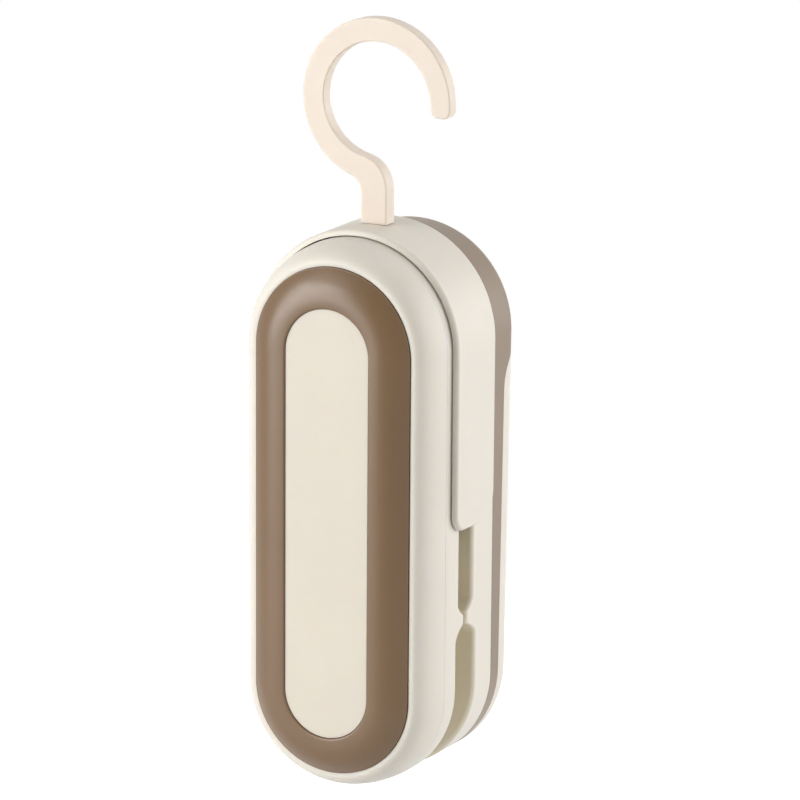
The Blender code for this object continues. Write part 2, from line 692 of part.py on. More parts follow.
def make_base():
    """Front shell of the base with its ridge, and the sealing strips in it."""
    front = BASE_TIP - WALL
    stations = [
        (CASE_HALF_WIDTH, front),
        (CASE_HALF_WIDTH, BAND_Y - SEAM / 2),
        (INNER_HALF_WIDTH, BAND_Y - SEAM / 2),
        (INNER_HALF_WIDTH, BASE_FLOOR + BASE_RELIEF),
    ]
    shell = part("base_shell", loft(stations), CREAM)
    combine(shell, jaw_cutter(base_edge(), front - WALL), "DIFFERENCE")
    root = BASE_FLOOR - WALL / 2
    lugs = mirrored_lugs(LEVER_LUG_X + LUG_WIDTH + GAP, root)
    seat_end = BASE_FRONT - SPRING_BOSS_HEIGHT
    seat = rod(SPRING_BOSS_RADIUS, (0, root, SPRING_Z), (0, seat_end, SPRING_Z), SMALL_SIDES)
    tab_front = TAB_BACK - TAB_THICKNESS
    bosses = []
    holes = []
    for x, z in BASE_SCREW_PLACES:
        bosses.append(rod(BOSS_RADIUS, (x, BASE_FLOOR, z), (x, tab_front - GAP, z)))
        deep = TAB_BACK - SCREW_LENGTH - GAP
        holes.append(rod(SCREW_RADIUS + GAP, (x, deep, z), (x, DOOR_Y, z), HOLE_SIDES))
    combine(shell, merged(lugs, seat, *bosses), "UNION")
    slot_half = HOLDER_WIDTH / 2 + GAP
    slot_length = STRIP_HALF_LENGTH + GAP
    slot_depth = (front, BASE_TIP + STRIP_STACK)
    slot = box(-slot_length, slot_length, *slot_depth, RIDGE_Z - slot_half, RIDGE_Z + slot_half)
    pocket = rod(
        PEG_RADIUS + GAP + CLIP_WIDTH + 2 * GAP,
        (0, HOOK_Y, COLLAR_TOP - COLLAR_THICKNESS - 3 * CLIP_HEIGHT),
        (0, HOOK_Y, COLLAR_TOP),
    )
    side = BOX_HALF_WIDTH + GAP
    room = box(-side, side, BASE_FLOOR, BAND_Y, BOX_LOW - GAP, BOX_HIGH + GAP)
    for hole in (slot, pocket, room, snaps(GAP), pin_bore(), *holes, *wire_ways()):
        combine(shell, hole, "DIFFERENCE")

    layers = (
        ("cover_strip", HOLDER_WIDTH, COVER_THICKNESS, COVER),
        ("heating_strip", RIBBON_WIDTH, RIBBON_THICKNESS, STEEL),
        ("heater_holder", HOLDER_WIDTH, HOLDER_THICKNESS, HEATPROOF),
    )
    y = BASE_TIP - COVER_PROUD
    for name, width, thickness, material in layers:
        strip = box(
            -STRIP_HALF_LENGTH,
            STRIP_HALF_LENGTH,
            y,
            y + thickness,
            RIDGE_Z - width / 2,
            RIDGE_Z + width / 2,
        )
        part(name, strip, material)
        y += thickness + GAP


def door_region(clearance):
    """Side view of the space that the battery door takes: behind the band and below an arc."""
    far = REAR_Y + DOOR_DEPTH
    low = -ARC_OFFSET - 2 * CASE_HALF_WIDTH
    seam_top = DOOR_Y + SLOPE * DOOR_SHOULDER_Z - clearance
    centre = (seam_top + DOOR_CURVE, DOOR_SHOULDER_Z + clearance)
    outline = [(far, low), (DOOR_Y + SLOPE * low - clearance, low)]
    outline += arc(centre, DOOR_CURVE, 180, 90, CORNER_STEPS)
    outline += [(far, centre[1] + DOOR_CURVE)]
    return prism(outline, -2 * CASE_HALF_WIDTH, 2 * CASE_HALF_WIDTH, "X")


def rear_cup():
    """The whole back of the base, before it is split into band and door."""
    front = BAND_Y + SEAM / 2
    straight = REAR_Y - REAR_ROUND
    stations = [
        (CASE_HALF_WIDTH - REAR_ROUND, REAR_Y - WALL, SLOPE),
        (INNER_HALF_WIDTH, straight, SLOPE),
        (INNER_HALF_WIDTH, front),
        (CASE_HALF_WIDTH, front),
    ]
    for step in range(ROUND_STEPS + 1):
        angle = math.pi / 2 * step / ROUND_STEPS
        width = CASE_HALF_WIDTH - REAR_ROUND * (1 - math.cos(angle))
        stations.append((width, straight + REAR_ROUND * math.sin(angle), SLOPE))
    return loft(stations)


def along_rail(outline):
    """The same (X, depth) outline at each catch on both sides, leaning with the back of the base."""
    lean = Matrix.Identity(4)
    lean[1][2] = SLOPE
    pieces = []
    for side in (-1, 1):
        mirrored = [(side * x, y) for x, y in outline]
        for place in range(CATCH_PLACES):
            middle = CATCH_TOP_Z - place * CATCH_PITCH
            piece = prism(mirrored, middle - CATCH_LENGTH / 2, middle + CATCH_LENGTH / 2, "Z")
            piece.transform(lean)
            pieces.append(piece)
    return merged(*pieces)


def keepers():
    """Short rails inside the band that the door's catches slide behind."""
    inside = INNER_HALF_WIDTH - KEEPER_WIDTH
    outside = INNER_HALF_WIDTH + WALL / 2
    rear = DOOR_Y - GAP - SEAM
    front = rear - KEEPER_DEPTH
    return along_rail([(inside, front), (outside, front), (outside, rear), (inside, rear)])


def catches():
    """Hooked feet of the door that reach round the keepers."""
    outside = INNER_HALF_WIDTH + WALL / 2
    tip = INNER_HALF_WIDTH - GAP
    lip = INNER_HALF_WIDTH - KEEPER_WIDTH - GAP
    inside = lip - CATCH_THICKNESS
    web = DOOR_Y + SEAM
    rear = web + CATCH_THICKNESS
    foot = DOOR_Y - 2 * GAP - SEAM - KEEPER_DEPTH
    front = foot - CATCH_THICKNESS
    outline = [(outside, rear), (inside, rear), (inside, front), (tip, front)]
    outline += [(tip, foot), (lip, foot), (lip, web), (outside, web)]
    return along_rail(outline)


def thumb_grooves():
    """Grooves across the back of the door, to push it down by."""
    grooves = []
    for place in range(GROOVES):
        z = GROOVE_TOP_Z - place * GROOVE_PITCH
        face = REAR_Y + SLOPE * z
        flank = GROOVE_WIDTH / 2 / GROOVE_DEPTH
        high = z + flank * (GROOVE_DEPTH + SEAM)
        low = z - flank * (GROOVE_DEPTH + SEAM)
        outline = [(face - GROOVE_DEPTH, z), (face + SEAM, low), (face + SEAM, high)]
        grooves.append(prism(outline, -GROOVE_HALF_LENGTH, GROOVE_HALF_LENGTH, "X"))
    return merged(*grooves)


def make_rear():
    """Brown band with its tabs, tongues and keepers, and the cream battery door."""
    frame = part("rear_frame", rear_cup(), BROWN_GREY)
    combine(frame, door_region(GAP), "DIFFERENCE")
    additions = []
    holes = []
    for x, z in BASE_SCREW_PLACES:
        low = -ARC_OFFSET - math.sqrt(INNER_HALF_WIDTH**2 - x**2) - WALL / 4
        additions.append(
            box(
                x - TAB_HALF_WIDTH,
                x + TAB_HALF_WIDTH,
                TAB_BACK - TAB_THICKNESS,
                TAB_BACK,
                low,
                z + TAB_HALF_WIDTH,
            )
        )
        holes.append(rod(SCREW_RADIUS + GAP, (x, BAND_Y, z), (x, REAR_Y, z), HOLE_SIDES))
    far_x = TONGUE_X + TONGUE_HALF_WIDTH
    tongue_top = ARC_OFFSET + math.sqrt(INNER_HALF_WIDTH**2 - far_x**2) - GAP
    for side in (-1, 1):
        x = side * TONGUE_X
        across = (x - TONGUE_HALF_WIDTH, x + TONGUE_HALF_WIDTH)
        root = (BAND_Y + SEAM, DOOR_Y)
        reach = (BAND_Y - TONGUE_REACH, DOOR_Y)
        wall_top = ARC_OFFSET + math.sqrt(INNER_HALF_WIDTH**2 - far_x**2) + WALL
        additions.append(box(*across, *root, tongue_top - TONGUE_THICKNESS, wall_top))
        additions.append(box(*across, *reach, tongue_top - TONGUE_THICKNESS, tongue_top))
    for addition in (*additions, keepers()):
        combine(frame, addition, "UNION")
    combine(frame, merged(*holes), "DIFFERENCE")

    door = part("battery_door", rear_cup(), CREAM, DOOR_WAY)
    combine(door, door_region(0.0), "INTERSECT")
    combine(door, catches(), "UNION")
    combine(door, thumb_grooves(), "DIFFERENCE")
    for number, (x, z) in enumerate(BASE_SCREW_PLACES, 1):
        screw(f"base_screw_{number}", x, z, TAB_BACK + GAP / 2, True, ROOT)


def snaps(clearance):
    """Ribs inside the collar that hold it to the sides of the base, or their recesses."""
    inside = COLLAR_INNER - SNAP_GRIP - clearance
    outside = COLLAR_INNER + COLLAR_THICKNESS / 2
    middle = BASE_FRONT + SNAP_SETBACK
    width = SNAP_HALF_WIDTH + clearance
    length = SNAP_HALF_LENGTH + clearance
    span = (middle - width, middle + width, SNAP_Z - length, SNAP_Z + length)
    return merged(box(inside, outside, *span), box(-outside, -inside, *span))


def make_collar():
    """Cream strap over the top of both jaws, rounded at its lower ends."""
    stations = [(COLLAR_INNER, COLLAR_FRONT + COLLAR_RIM_ROUND)]
    stations.append((COLLAR_INNER, COLLAR_FRONT))
    for step in range(ROUND_STEPS + 1):
        angle = math.pi / 2 * step / ROUND_STEPS
        width = COLLAR_OUTER - COLLAR_RIM_ROUND * (1 - math.sin(angle))
        stations.append((width, COLLAR_FRONT + COLLAR_RIM_ROUND * (1 - math.cos(angle))))
    stations.append((COLLAR_OUTER, COLLAR_REAR))
    stations.append((COLLAR_INNER, COLLAR_REAR))
    collar = part("hinge_collar", loft(stations, hoop=True), CREAM)
    front = COLLAR_FRONT - WALL
    rear = COLLAR_REAR + WALL
    high = COLLAR_TOP + WALL
    front_corner = (COLLAR_FRONT + COLLAR_FRONT_CORNER, COLLAR_END_Z + COLLAR_FRONT_CORNER)
    rear_corner = (COLLAR_REAR - COLLAR_REAR_CORNER, COLLAR_END_Z + COLLAR_REAR_CORNER)
    outline = [(rear, high), (front, high), (front, front_corner[1])]
    outline += arc(front_corner, COLLAR_FRONT_CORNER, 180, 270, CORNER_STEPS)
    outline += arc(rear_corner, COLLAR_REAR_CORNER, 270, 360, CORNER_STEPS)
    outline += [(rear, rear_corner[1])]
    keep = prism(outline, -2 * CASE_HALF_WIDTH, 2 * CASE_HALF_WIDTH, "X")
    combine(collar, keep, "INTERSECT")
    combine(collar, snaps(0.0), "UNION")
    middle = COLLAR_TOP - COLLAR_THICKNESS / 2
    peg_hole = rod(PEG_RADIUS + GAP, (0, HOOK_Y, middle - WALL), (0, HOOK_Y, middle + WALL))
    combine(collar, peg_hole, "DIFFERENCE")


def hook_outline():
    """Front view of the hook, from the foot of the stem up its right side and round the loop."""
    loop = (0.0, LOOP_Z)
    shoulder_x = HOOK_STEM_HALF - HOOK_SHOULDER
    shoulder_drop = math.sqrt((HOOK_INNER + HOOK_SHOULDER) ** 2 - shoulder_x**2)
    shoulder = (shoulder_x, LOOP_Z - shoulder_drop)
    shoulder_angle = math.degrees(math.atan2(shoulder_drop, -shoulder_x))
    fillet_x = -HOOK_STEM_HALF - HOOK_FILLET
    fillet_drop = math.sqrt((HOOK_OUTER + HOOK_FILLET) ** 2 - fillet_x**2)
    fillet = (fillet_x, LOOP_Z - fillet_drop)
    fillet_angle = math.degrees(math.atan2(fillet_drop, -fillet_x))
    tip_inner = HOOK_INNER + HOOK_TIP_ROUND
    tip_outer = HOOK_OUTER - HOOK_TIP_ROUND
    tip_turn = math.degrees(HOOK_TIP_ROUND / HOOK_RADIUS)
    tip = math.radians(HOOK_TIP_ANGLE + tip_turn)
    inner_corner = (tip_inner * math.cos(tip), LOOP_Z + tip_inner * math.sin(tip))
    outer_corner = (tip_outer * math.cos(tip), LOOP_Z + tip_outer * math.sin(tip))
    start = HOOK_TIP_ANGLE + tip_turn

    outline = [(HOOK_STEM_HALF, STEM_BOTTOM)]
    outline += arc(shoulder, HOOK_SHOULDER, 0, shoulder_angle, CORNER_STEPS)
    outline += arc(loop, HOOK_INNER, 180 + shoulder_angle, start, HOOK_STEPS)[1:]
    outline += arc(inner_corner, HOOK_TIP_ROUND, 180 + start, 270 + start, RAMP_STEPS)[1:]
    outline += arc(outer_corner, HOOK_TIP_ROUND, 270 + start, 360 + start, RAMP_STEPS)
    outline += arc(loop, HOOK_OUTER, start, 180 + fillet_angle, HOOK_STEPS)[1:]
    outline += arc(fillet, HOOK_FILLET, fillet_angle, 0, CORNER_STEPS)[1:]
    outline += [(-HOOK_STEM_HALF, STEM_BOTTOM)]
    return outline


def make_hook():
    """Flat hook with a round peg through the collar, and the clip that keeps it there."""
    half = HOOK_THICKNESS / 2
    blade = prism(hook_outline(), HOOK_Y - half, HOOK_Y + half, "Y")
    hook = part("hook", blade, PALE_CREAM, HOOK_AXIS)
    edge = hook.modifiers.new("edge", "BEVEL")
    edge.width = HOOK_EDGE * MM
    edge.segments = EDGE_STEPS
    edge.limit_method = "ANGLE"
    edge.angle_limit = math.radians(EDGE_ANGLE)
    reach = PEG_RADIUS + GAP + CLIP_WIDTH
    clip_top = ARC_OFFSET + math.sqrt(COLLAR_INNER**2 - reach**2) - GAP
    clip_low = clip_top - CLIP_HEIGHT
    head_top = clip_low - GAP
    peg = rod(PEG_RADIUS, (0, HOOK_Y, head_top - SEAM), (0, HOOK_Y, STEM_BOTTOM + WALL))
    head = rod(PEG_RADIUS + PEG_HEAD, (0, HOOK_Y, head_top - PEG_HEAD_HEIGHT), (0, HOOK_Y, head_top))
    combine(hook, peg, "UNION")
    combine(hook, head, "UNION")
    clip_start = (CLIP_OPENING - 180) / 2
    clip_end = clip_start + 360 - CLIP_OPENING
    outline = arc((0.0, HOOK_Y), reach, clip_start, clip_end, FINE_SIDES)
    outline += arc((0.0, HOOK_Y), PEG_RADIUS + GAP / 2, clip_end, clip_start, FINE_SIDES)
    part("hook_retainer", prism(outline, clip_low, clip_top, "Z"), STEEL, HOOK_AXIS)


def coil(middle, start_y, end_y, start_radius, end_radius, turns):
    """Points of a spring round an axis along Y."""
    count = turns * COIL_STEPS
    points = []
    for step in range(count + 1):
        share = step / count
        angle = 2 * math.pi * turns * share
        radius = start_radius + (end_radius - start_radius) * share
        y = start_y + (end_y - start_y) * share
        points.append((middle[0] + radius * math.cos(angle), y, middle[1] + radius * math.sin(angle)))
    return points


def report_gap(name, points, thickness):
    """Prints the least gap between one turn of a spring and the next."""
    apart = COIL_STEPS // 2
    pairs = []
    for index, near in enumerate(points):
        pairs += [(Vector(near) - Vector(far)).length for far in points[index + apart:]]
    print(f"{name}: least gap to itself {min(pairs) - thickness:.2f} mm")


def make_works():
    """Hinge pin, return spring and switch between the jaws."""
    left_end = (-PIN_HALF_LENGTH, HINGE_Y, HINGE_Z)
    right_end = (PIN_HALF_LENGTH, HINGE_Y, HINGE_Z)
    part("hinge_pin", rod(PIN_RADIUS, left_end, right_end, SMALL_SIDES), STEEL)

    half_wire = SPRING_WIRE / 2
    front = LEVER_DEPTH + GAP + half_wire
    rear = BASE_FRONT - GAP - half_wire
    points = coil((0.0, SPRING_Z), front, rear, SPRING_RADIUS, SPRING_RADIUS, SPRING_TURNS)
    wire("return_spring", points, half_wire, STEEL)
    report_gap("return_spring", points, SPRING_WIRE)

    half = SWITCH_SIZE / 2
    rear = BASE_FRONT - GAP
    front = rear - SWITCH_HEIGHT
    body = part("switch_body", box(-half, half, front, rear, SWITCH_Z - half, SWITCH_Z + half), BLACK)
    button_front = front - BUTTON_PROUD
    button_rear = button_front + BUTTON_LENGTH
    well = rod(
        BUTTON_RADIUS + GAP,
        (0, front - WALL, SWITCH_Z),
        (0, button_rear + BUTTON_TRAVEL + GAP / 2, SWITCH_Z),
        SMALL_SIDES,
    )
    combine(body, well, "DIFFERENCE")
    button = rod(BUTTON_RADIUS, (0, button_front, SWITCH_Z), (0, button_rear, SWITCH_Z), SMALL_SIDES)
    part("switch_button", button, PALE_CREAM, BUTTON_WAY)


def route(corners):
    """Points of a wire through corners, each rounded by a short bend."""
    points = [Vector(corners[0])]
    for before, corner, after in zip(corners, corners[1:], corners[2:]):
        corner = Vector(corner)
        way_in = Vector(before) - corner
        way_out = Vector(after) - corner
        bend = min(WIRE_BEND, BEND_SHARE * way_in.length, BEND_SHARE * way_out.length)
        start = corner + way_in.normalized() * bend
        end = corner + way_out.normalized() * bend
        for step in range(BEND_STEPS + 1):
            share = step / BEND_STEPS
            points.append(start.lerp(corner, share).lerp(corner.lerp(end, share), share))
    points.append(Vector(corners[-1]))
    return points


def make_leads():
    """Wires from the battery to the switch and to both ends of the heating strip."""
    strip_end = BASE_TIP + STRIP_STACK + GAP
    cell_x = CELL_SPACING / 2
    switch_end = SWITCH_SIZE / 2 + GAP
    lower = SWITCH_Z - WIRE_SPREAD
    upper = SWITCH_Z + WIRE_SPREAD
    positive = [
        (-cell_x, CELL_Y, WIRE_LOW_Z),
        (-WIRE_X, CELL_Y, WIRE_LOW_Z),
        (-WIRE_X, WIRE_Y, WIRE_LOW_Z),
        (-WIRE_X, WIRE_Y, RIDGE_Z),
        (-WIRE_X, strip_end, RIDGE_Z),
    ]
    negative = [
        (cell_x, CELL_Y, WIRE_LOW_Z),
        (WIRE_X, CELL_Y, WIRE_LOW_Z),
        (WIRE_X, CELL_Y, upper),
        (WIRE_X, WIRE_GROOVE_Y, upper),
        (switch_end, WIRE_GROOVE_Y, upper),
    ]
    switched = [
        (switch_end, WIRE_GROOVE_Y, lower),
        (WIRE_X, WIRE_GROOVE_Y, lower),
        (WIRE_X, WIRE_Y, lower),
        (WIRE_X, WIRE_Y, RIDGE_Z),
        (WIRE_X, strip_end, RIDGE_Z),
    ]
    wire("lead_positive", route(positive), WIRE_RADIUS, WIRE_RED)
    wire("lead_negative", route(negative), WIRE_RADIUS, WIRE_BLACK)
    wire("lead_switched", route(switched), WIRE_RADIUS, WIRE_RED)


def make_battery():
    """Tray, two cells, and the contacts at both ends."""
    front = BASE_FLOOR + GAP
    rear = CELL_Y - GAP
    body = box(-BOX_HALF_WIDTH, BOX_HALF_WIDTH, front, rear, BOX_LOW, BOX_HIGH)
    tray = part("battery_tray", body, BLACK)
    left = -CELL_SPACING / 2
    right = CELL_SPACING / 2
    low_end = CELL_LOW - CONTACT_ROOM
    high_end = CELL_HIGH + CONTACT_ROOM
    for x in (left, right):
        bay = rod(CELL_RADIUS + GAP, (x, CELL_Y, low_end), (x, CELL_Y, high_end), FINE_SIDES)
        combine(tray, bay, "DIFFERENCE")
    half_plate = CONTACT_SIZE / 2
    reach = half_plate + GAP
    bridge_depth = (CELL_Y - reach, CELL_Y)
    bridge_slot = box(left - reach, right + reach, *bridge_depth, CELL_HIGH - GAP, high_end)
    combine(tray, bridge_slot, "DIFFERENCE")

    profile = [
        (0.0, CELL_LENGTH),
        (CELL_NUB_RADIUS, CELL_LENGTH),
        (CELL_NUB_RADIUS, CELL_LENGTH - CELL_NUB_LENGTH),
        (CELL_RADIUS - GAP, CELL_LENGTH - CELL_NUB_LENGTH),
        (CELL_RADIUS, CELL_LENGTH - CELL_NUB_LENGTH - GAP),
        (CELL_RADIUS, GAP),
        (CELL_RADIUS - GAP, 0.0),
        (0.0, 0.0),
    ]
    cell_top = CELL_LOW + GAP + CELL_LENGTH
    cell_bottom = CELL_HIGH - GAP - CELL_LENGTH
    down = (left, CELL_Y, cell_top)
    up = (right, CELL_Y, cell_bottom)
    turned("battery_cell_1", profile, CELL_SKIN, down, (0, 0, -1), ROOT, FINE_SIDES)
    turned("battery_cell_2", profile, CELL_SKIN, up, (0, 0, 1), ROOT, FINE_SIDES)

    plate_y = (CELL_Y - half_plate, CELL_Y + half_plate)
    top = (CELL_HIGH, CELL_HIGH + CONTACT_THICKNESS)
    bottom = (CELL_LOW - CONTACT_THICKNESS, CELL_LOW)
    part("contact_bridge", box(left - half_plate, right + half_plate, *plate_y, *top), BRASS)
    part("terminal_positive", box(left - half_plate, left + half_plate, *plate_y, *bottom), BRASS)
    part("terminal_negative", box(right - half_plate, right + half_plate, *plate_y, *bottom), BRASS)
    clear = GAP + CONTACT_WIRE / 2
    for name, x, plate, cell in (
        ("contact_spring_1", left, CELL_HIGH - clear, cell_top + clear),
        ("contact_spring_2", right, CELL_LOW + clear, cell_bottom - clear),
    ):
        radii = (CONTACT_SPRING_RADIUS, CONTACT_SPRING_TOP)
        turns = coil((x, CELL_Y), plate, cell, *radii, CONTACT_SPRING_TURNS)
        upright = [(a, b, height) for a, height, b in turns]
        wire(name, upright, CONTACT_WIRE / 2, STEEL)
        report_gap(name, upright, CONTACT_WIRE)


make_lever()
make_base()
make_rear()
make_collar()
make_hook()
make_works()
make_battery()
make_leads()
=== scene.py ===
"""Looks of a pocket bag heat sealer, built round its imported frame.

Measures are millimetres: x runs to the right seen from the front, y back from the front edge of the
casing, and z up from the middle of its stadium outline. place() turns them into the frame's metres.
"""

import json
import math

import bmesh
import bpy
from mathutils import Matrix, Vector


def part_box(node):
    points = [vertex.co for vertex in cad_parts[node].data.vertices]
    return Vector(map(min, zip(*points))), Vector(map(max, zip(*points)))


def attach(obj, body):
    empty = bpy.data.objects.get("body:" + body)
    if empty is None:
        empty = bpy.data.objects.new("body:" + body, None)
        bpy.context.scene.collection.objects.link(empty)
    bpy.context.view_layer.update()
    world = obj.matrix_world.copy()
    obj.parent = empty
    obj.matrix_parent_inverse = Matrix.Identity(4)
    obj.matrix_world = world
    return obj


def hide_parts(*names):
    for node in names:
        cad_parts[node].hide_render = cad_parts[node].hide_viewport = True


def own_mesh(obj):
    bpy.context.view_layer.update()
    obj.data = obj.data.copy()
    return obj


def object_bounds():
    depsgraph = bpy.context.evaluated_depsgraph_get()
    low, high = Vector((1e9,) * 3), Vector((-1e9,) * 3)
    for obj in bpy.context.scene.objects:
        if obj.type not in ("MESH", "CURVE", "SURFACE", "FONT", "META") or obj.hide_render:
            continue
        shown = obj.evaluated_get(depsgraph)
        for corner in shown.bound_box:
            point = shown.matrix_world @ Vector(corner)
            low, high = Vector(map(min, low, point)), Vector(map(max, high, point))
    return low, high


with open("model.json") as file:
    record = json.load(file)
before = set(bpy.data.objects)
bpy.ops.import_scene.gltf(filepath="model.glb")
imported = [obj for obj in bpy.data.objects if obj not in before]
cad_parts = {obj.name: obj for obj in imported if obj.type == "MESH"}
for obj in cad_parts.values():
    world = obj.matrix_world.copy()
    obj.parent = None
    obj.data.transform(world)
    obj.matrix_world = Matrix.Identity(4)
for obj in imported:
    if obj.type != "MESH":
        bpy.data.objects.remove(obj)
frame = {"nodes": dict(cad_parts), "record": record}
CAD_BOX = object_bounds()

MM = 0.001
RING_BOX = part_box("grip_ring")
ORIGIN = Vector((0.0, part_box("lever_shell")[0].y, (RING_BOX[0].z + RING_BOX[1].z) / 2))


def place(x, y, z):
    """A point of the sealer's own measures in the frame's metres."""
    return ORIGIN + Vector((x, y, z)) * MM


def measured(node):
    """Lowest and highest corner of a node in the sealer's own measures."""
    low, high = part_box(node)
    return (low - ORIGIN) / MM, (high - ORIGIN) / MM


BODIES = frame["record"]["behaviour"]["bodies"]
BODY_OF = {node: body for body, nodes in BODIES.items() for node in nodes}
TO_FRAME = Matrix.Translation(ORIGIN) @ Matrix.Scale(MM, 4)


# Casing, read from the frame
CASE = measured("base_shell")[1].x
RING_LOW, RING_HIGH = measured("grip_ring")
RING = RING_HIGH.x
ARC = RING_HIGH.z - RING
PROUD = -RING_LOW.y
RING_BACK = RING_HIGH.y
PANEL = measured("front_panel")[1].x
LEVER_SPLIT = measured("lever_plate")[0].y
COLLAR_LOW, COLLAR_HIGH = measured("hinge_collar")
COLLAR_OUTER = COLLAR_HIGH.x
COLLAR_TOP = ARC + COLLAR_OUTER
HOOK_LOW, HOOK_HIGH = measured("hook")
HOOK_Y = (HOOK_LOW.y + HOOK_HIGH.y) / 2
PIN_LOW, PIN_HIGH = measured("hinge_pin")
HINGE_Y = (PIN_LOW.y + PIN_HIGH.y) / 2
HINGE_Z = (PIN_LOW.z + PIN_HIGH.z) / 2
PIN_RADIUS = (PIN_HIGH.z - PIN_LOW.z) / 2
PAD_LOW, PAD_HIGH = measured("pressure_pad")
RIDGE_Z = (PAD_LOW.z + PAD_HIGH.z) / 2
STRIP_LOW, STRIP_HIGH = measured("heater_holder")
TRAY_LOW, TRAY_HIGH = measured("battery_tray")
BUTTON_LOW, BUTTON_HIGH = measured("switch_button")
SPRING_LOW, SPRING_HIGH = measured("return_spring")
SPRING_Z = (SPRING_LOW.z + SPRING_HIGH.z) / 2
SWITCH_Z = (BUTTON_LOW.z + BUTTON_HIGH.z) / 2

# Depths that no box of the frame shows
WALL = 1.8
POCKET_DEPTH = 1.6
LIP = 0.6
FLARE_DEPTH = 10.5
LEVER_REAR = 14.2
LEVER_RELIEF = 1.0
LEVER_FLOOR = 10.8
BASE_FRONT = 20.7
BASE_RELIEF = 1.25
BAND_FRONT = 29.9
DOOR_FRONT = 34.2
REAR = 40.5
REAR_ROUND = 4.5
REAR_SLOPE = math.tan(math.radians(1.15))
REAR_TOP_DROP = 1.1
FOOT_DROP = 1.0
INNER = CASE - WALL

# Hinge ears, spring bosses and the post that presses the switch
EAR_RADIUS = 2.8
EAR_WIDTH = 2.7
EAR_STEPS = 20
LEVER_EAR_INSIDE = 9.3
BASE_EAR_INSIDE = 12.3
PIN_ROOM = 0.15
ROOT_DEPTH = 1.2
POST_RADIUS = 1.5
POST_ROOM = 0.2
SPRING_BOSS = 2.2
SPRING_BOSS_HEIGHT = 1.2

# Ridges across the jaws
LEVER_TIP = 16.65
BASE_TIP = 18.1
LEVER_FLAT = 0.95
LEVER_RISE = 3.0
LEVER_FALL = 4.0
BASE_FLAT = 1.35
BASE_RISE = 2.8
BASE_FALL = 3.2
RUN_OUT = 2.0
RIDGE_ABOVE = 6.0
RIDGE_BELOW = 8.0
SLOT_ROOM = 0.1

# Narrow seams and rounded edges of the finished mouldings
ROOM = 0.3
SEAM = 0.06
RING_SEAM = 0.05
PARTING = 0.04
LIP_ROUND = 0.15
LEVER_RIM_ROUND = 0.22
BASE_RIM_ROUND = 0.9
BASE_REAR_ROUND = 0.1
BAND_ROUND = 0.08
PANEL_ROUND = 0.08
PANEL_SEAM = 0.05
PANEL_RECESS = 0.4
RING_INNER_ROUND = 0.4
RING_FULLNESS = 2.2
RING_CREST = 0.12
RING_STEP = 0.4
RING_STEP_ROUND = 0.15

# Collar, whose rim stands a little before the frame's and whose ends are a little higher
COLLAR_LEAD = 0.9
COLLAR_LIFT = 0.4
COLLAR_FRONT = COLLAR_LOW.y - COLLAR_LEAD
COLLAR_REAR = COLLAR_HIGH.y
COLLAR_END = COLLAR_LOW.z + COLLAR_LIFT
COLLAR_THICKNESS = 1.2
COLLAR_INNER = COLLAR_OUTER - COLLAR_THICKNESS
COLLAR_ARCH = math.pi / 2 * COLLAR_INNER
COLLAR_FRONT_CORNER = 4.2
COLLAR_REAR_CORNER = 6.0
COLLAR_FRONT_ROUND = 0.9
COLLAR_REAR_ROUND = 0.35
SNAP_Z = 6.0
SNAP_Y = BASE_FRONT + 3.2
SNAP_DEPTH = 0.8
SNAP_HALF_WIDTH = 1.2
SNAP_HALF_LENGTH = 4.0

# Hook, a little wider and lower than the frame's and set to the right
HOOK_HALF = 1.55
HOOK_SWELL = 0.35
HOOK_SHIFT = 0.3
HOOK_GROWTH = 0.2
HOOK_TOP_DROP = 0.15
HOOK_OUTER = HOOK_HIGH.x + HOOK_GROWTH
HOOK_STRIP = 4.95
HOOK_INNER = HOOK_OUTER - HOOK_STRIP
HOOK_LOOP_Z = HOOK_HIGH.z - HOOK_TOP_DROP - HOOK_OUTER
HOOK_TIP_ANGLE = -10.0
HOOK_TIP_ROUND = 1.7
HOOK_TIP_SLIM = 0.45
HOOK_TIP_REACH = 60.0
HOOK_FILLET = 4.0
HOOK_SHOULDER = 7.0
HOOK_STEM_LEFT = 3.2
HOOK_STEM_RIGHT = 2.8
HOOK_EDGE = 0.35
HOOK_SEAT = COLLAR_TOP + SEAM
PEG_RADIUS = 1.9
PEG_HEAD_RADIUS = 2.4
PEG_HEAD_HEIGHT = 1.0
PEG_OVERLAP = 0.05
PEG_HOLE_BELOW = 4.0
PEG_HOLE_ABOVE = 1.0
PEG_WELL_RADIUS = 4.4
PEG_WELL_DEPTH = 5.4

# Battery door
DOOR_SHOULDER = 23.3
DOOR_CURVE = 10.2
DOOR_SEAM = 0.1
DOOR_CUT_REACH = 10.0
CATCH_HEIGHTS = (12.0, -6.0, -24.0)
CATCH_LENGTH = 6.0
CATCH_LIP = 1.0
CATCH_DROP = 1.8
CATCH_ROOM = 0.2
KEEPER_WIDTH = 0.7
KEEPER_HEIGHT = 1.0
KEEPER_DROP = 0.5
GROOVE_TOP = -26.0
GROOVE_PITCH = 2.4
GROOVE_WIDTH = 1.4
GROOVE_DEPTH = 0.6
GROOVE_HALF_LENGTH = 8.0
GROOVES = 5

# Rear band: screw tabs at the bottom and tongues at the top
TAB_BACK = DOOR_FRONT - REAR_SLOPE * (ARC + CASE) - ROOM
TAB_THICKNESS = 2.0
TAB_HALF = 3.0
TONGUE_X = 8.0
TONGUE_HALF = 2.5
TONGUE_HEIGHT = 2.2
TONGUE_REACH = 4.5

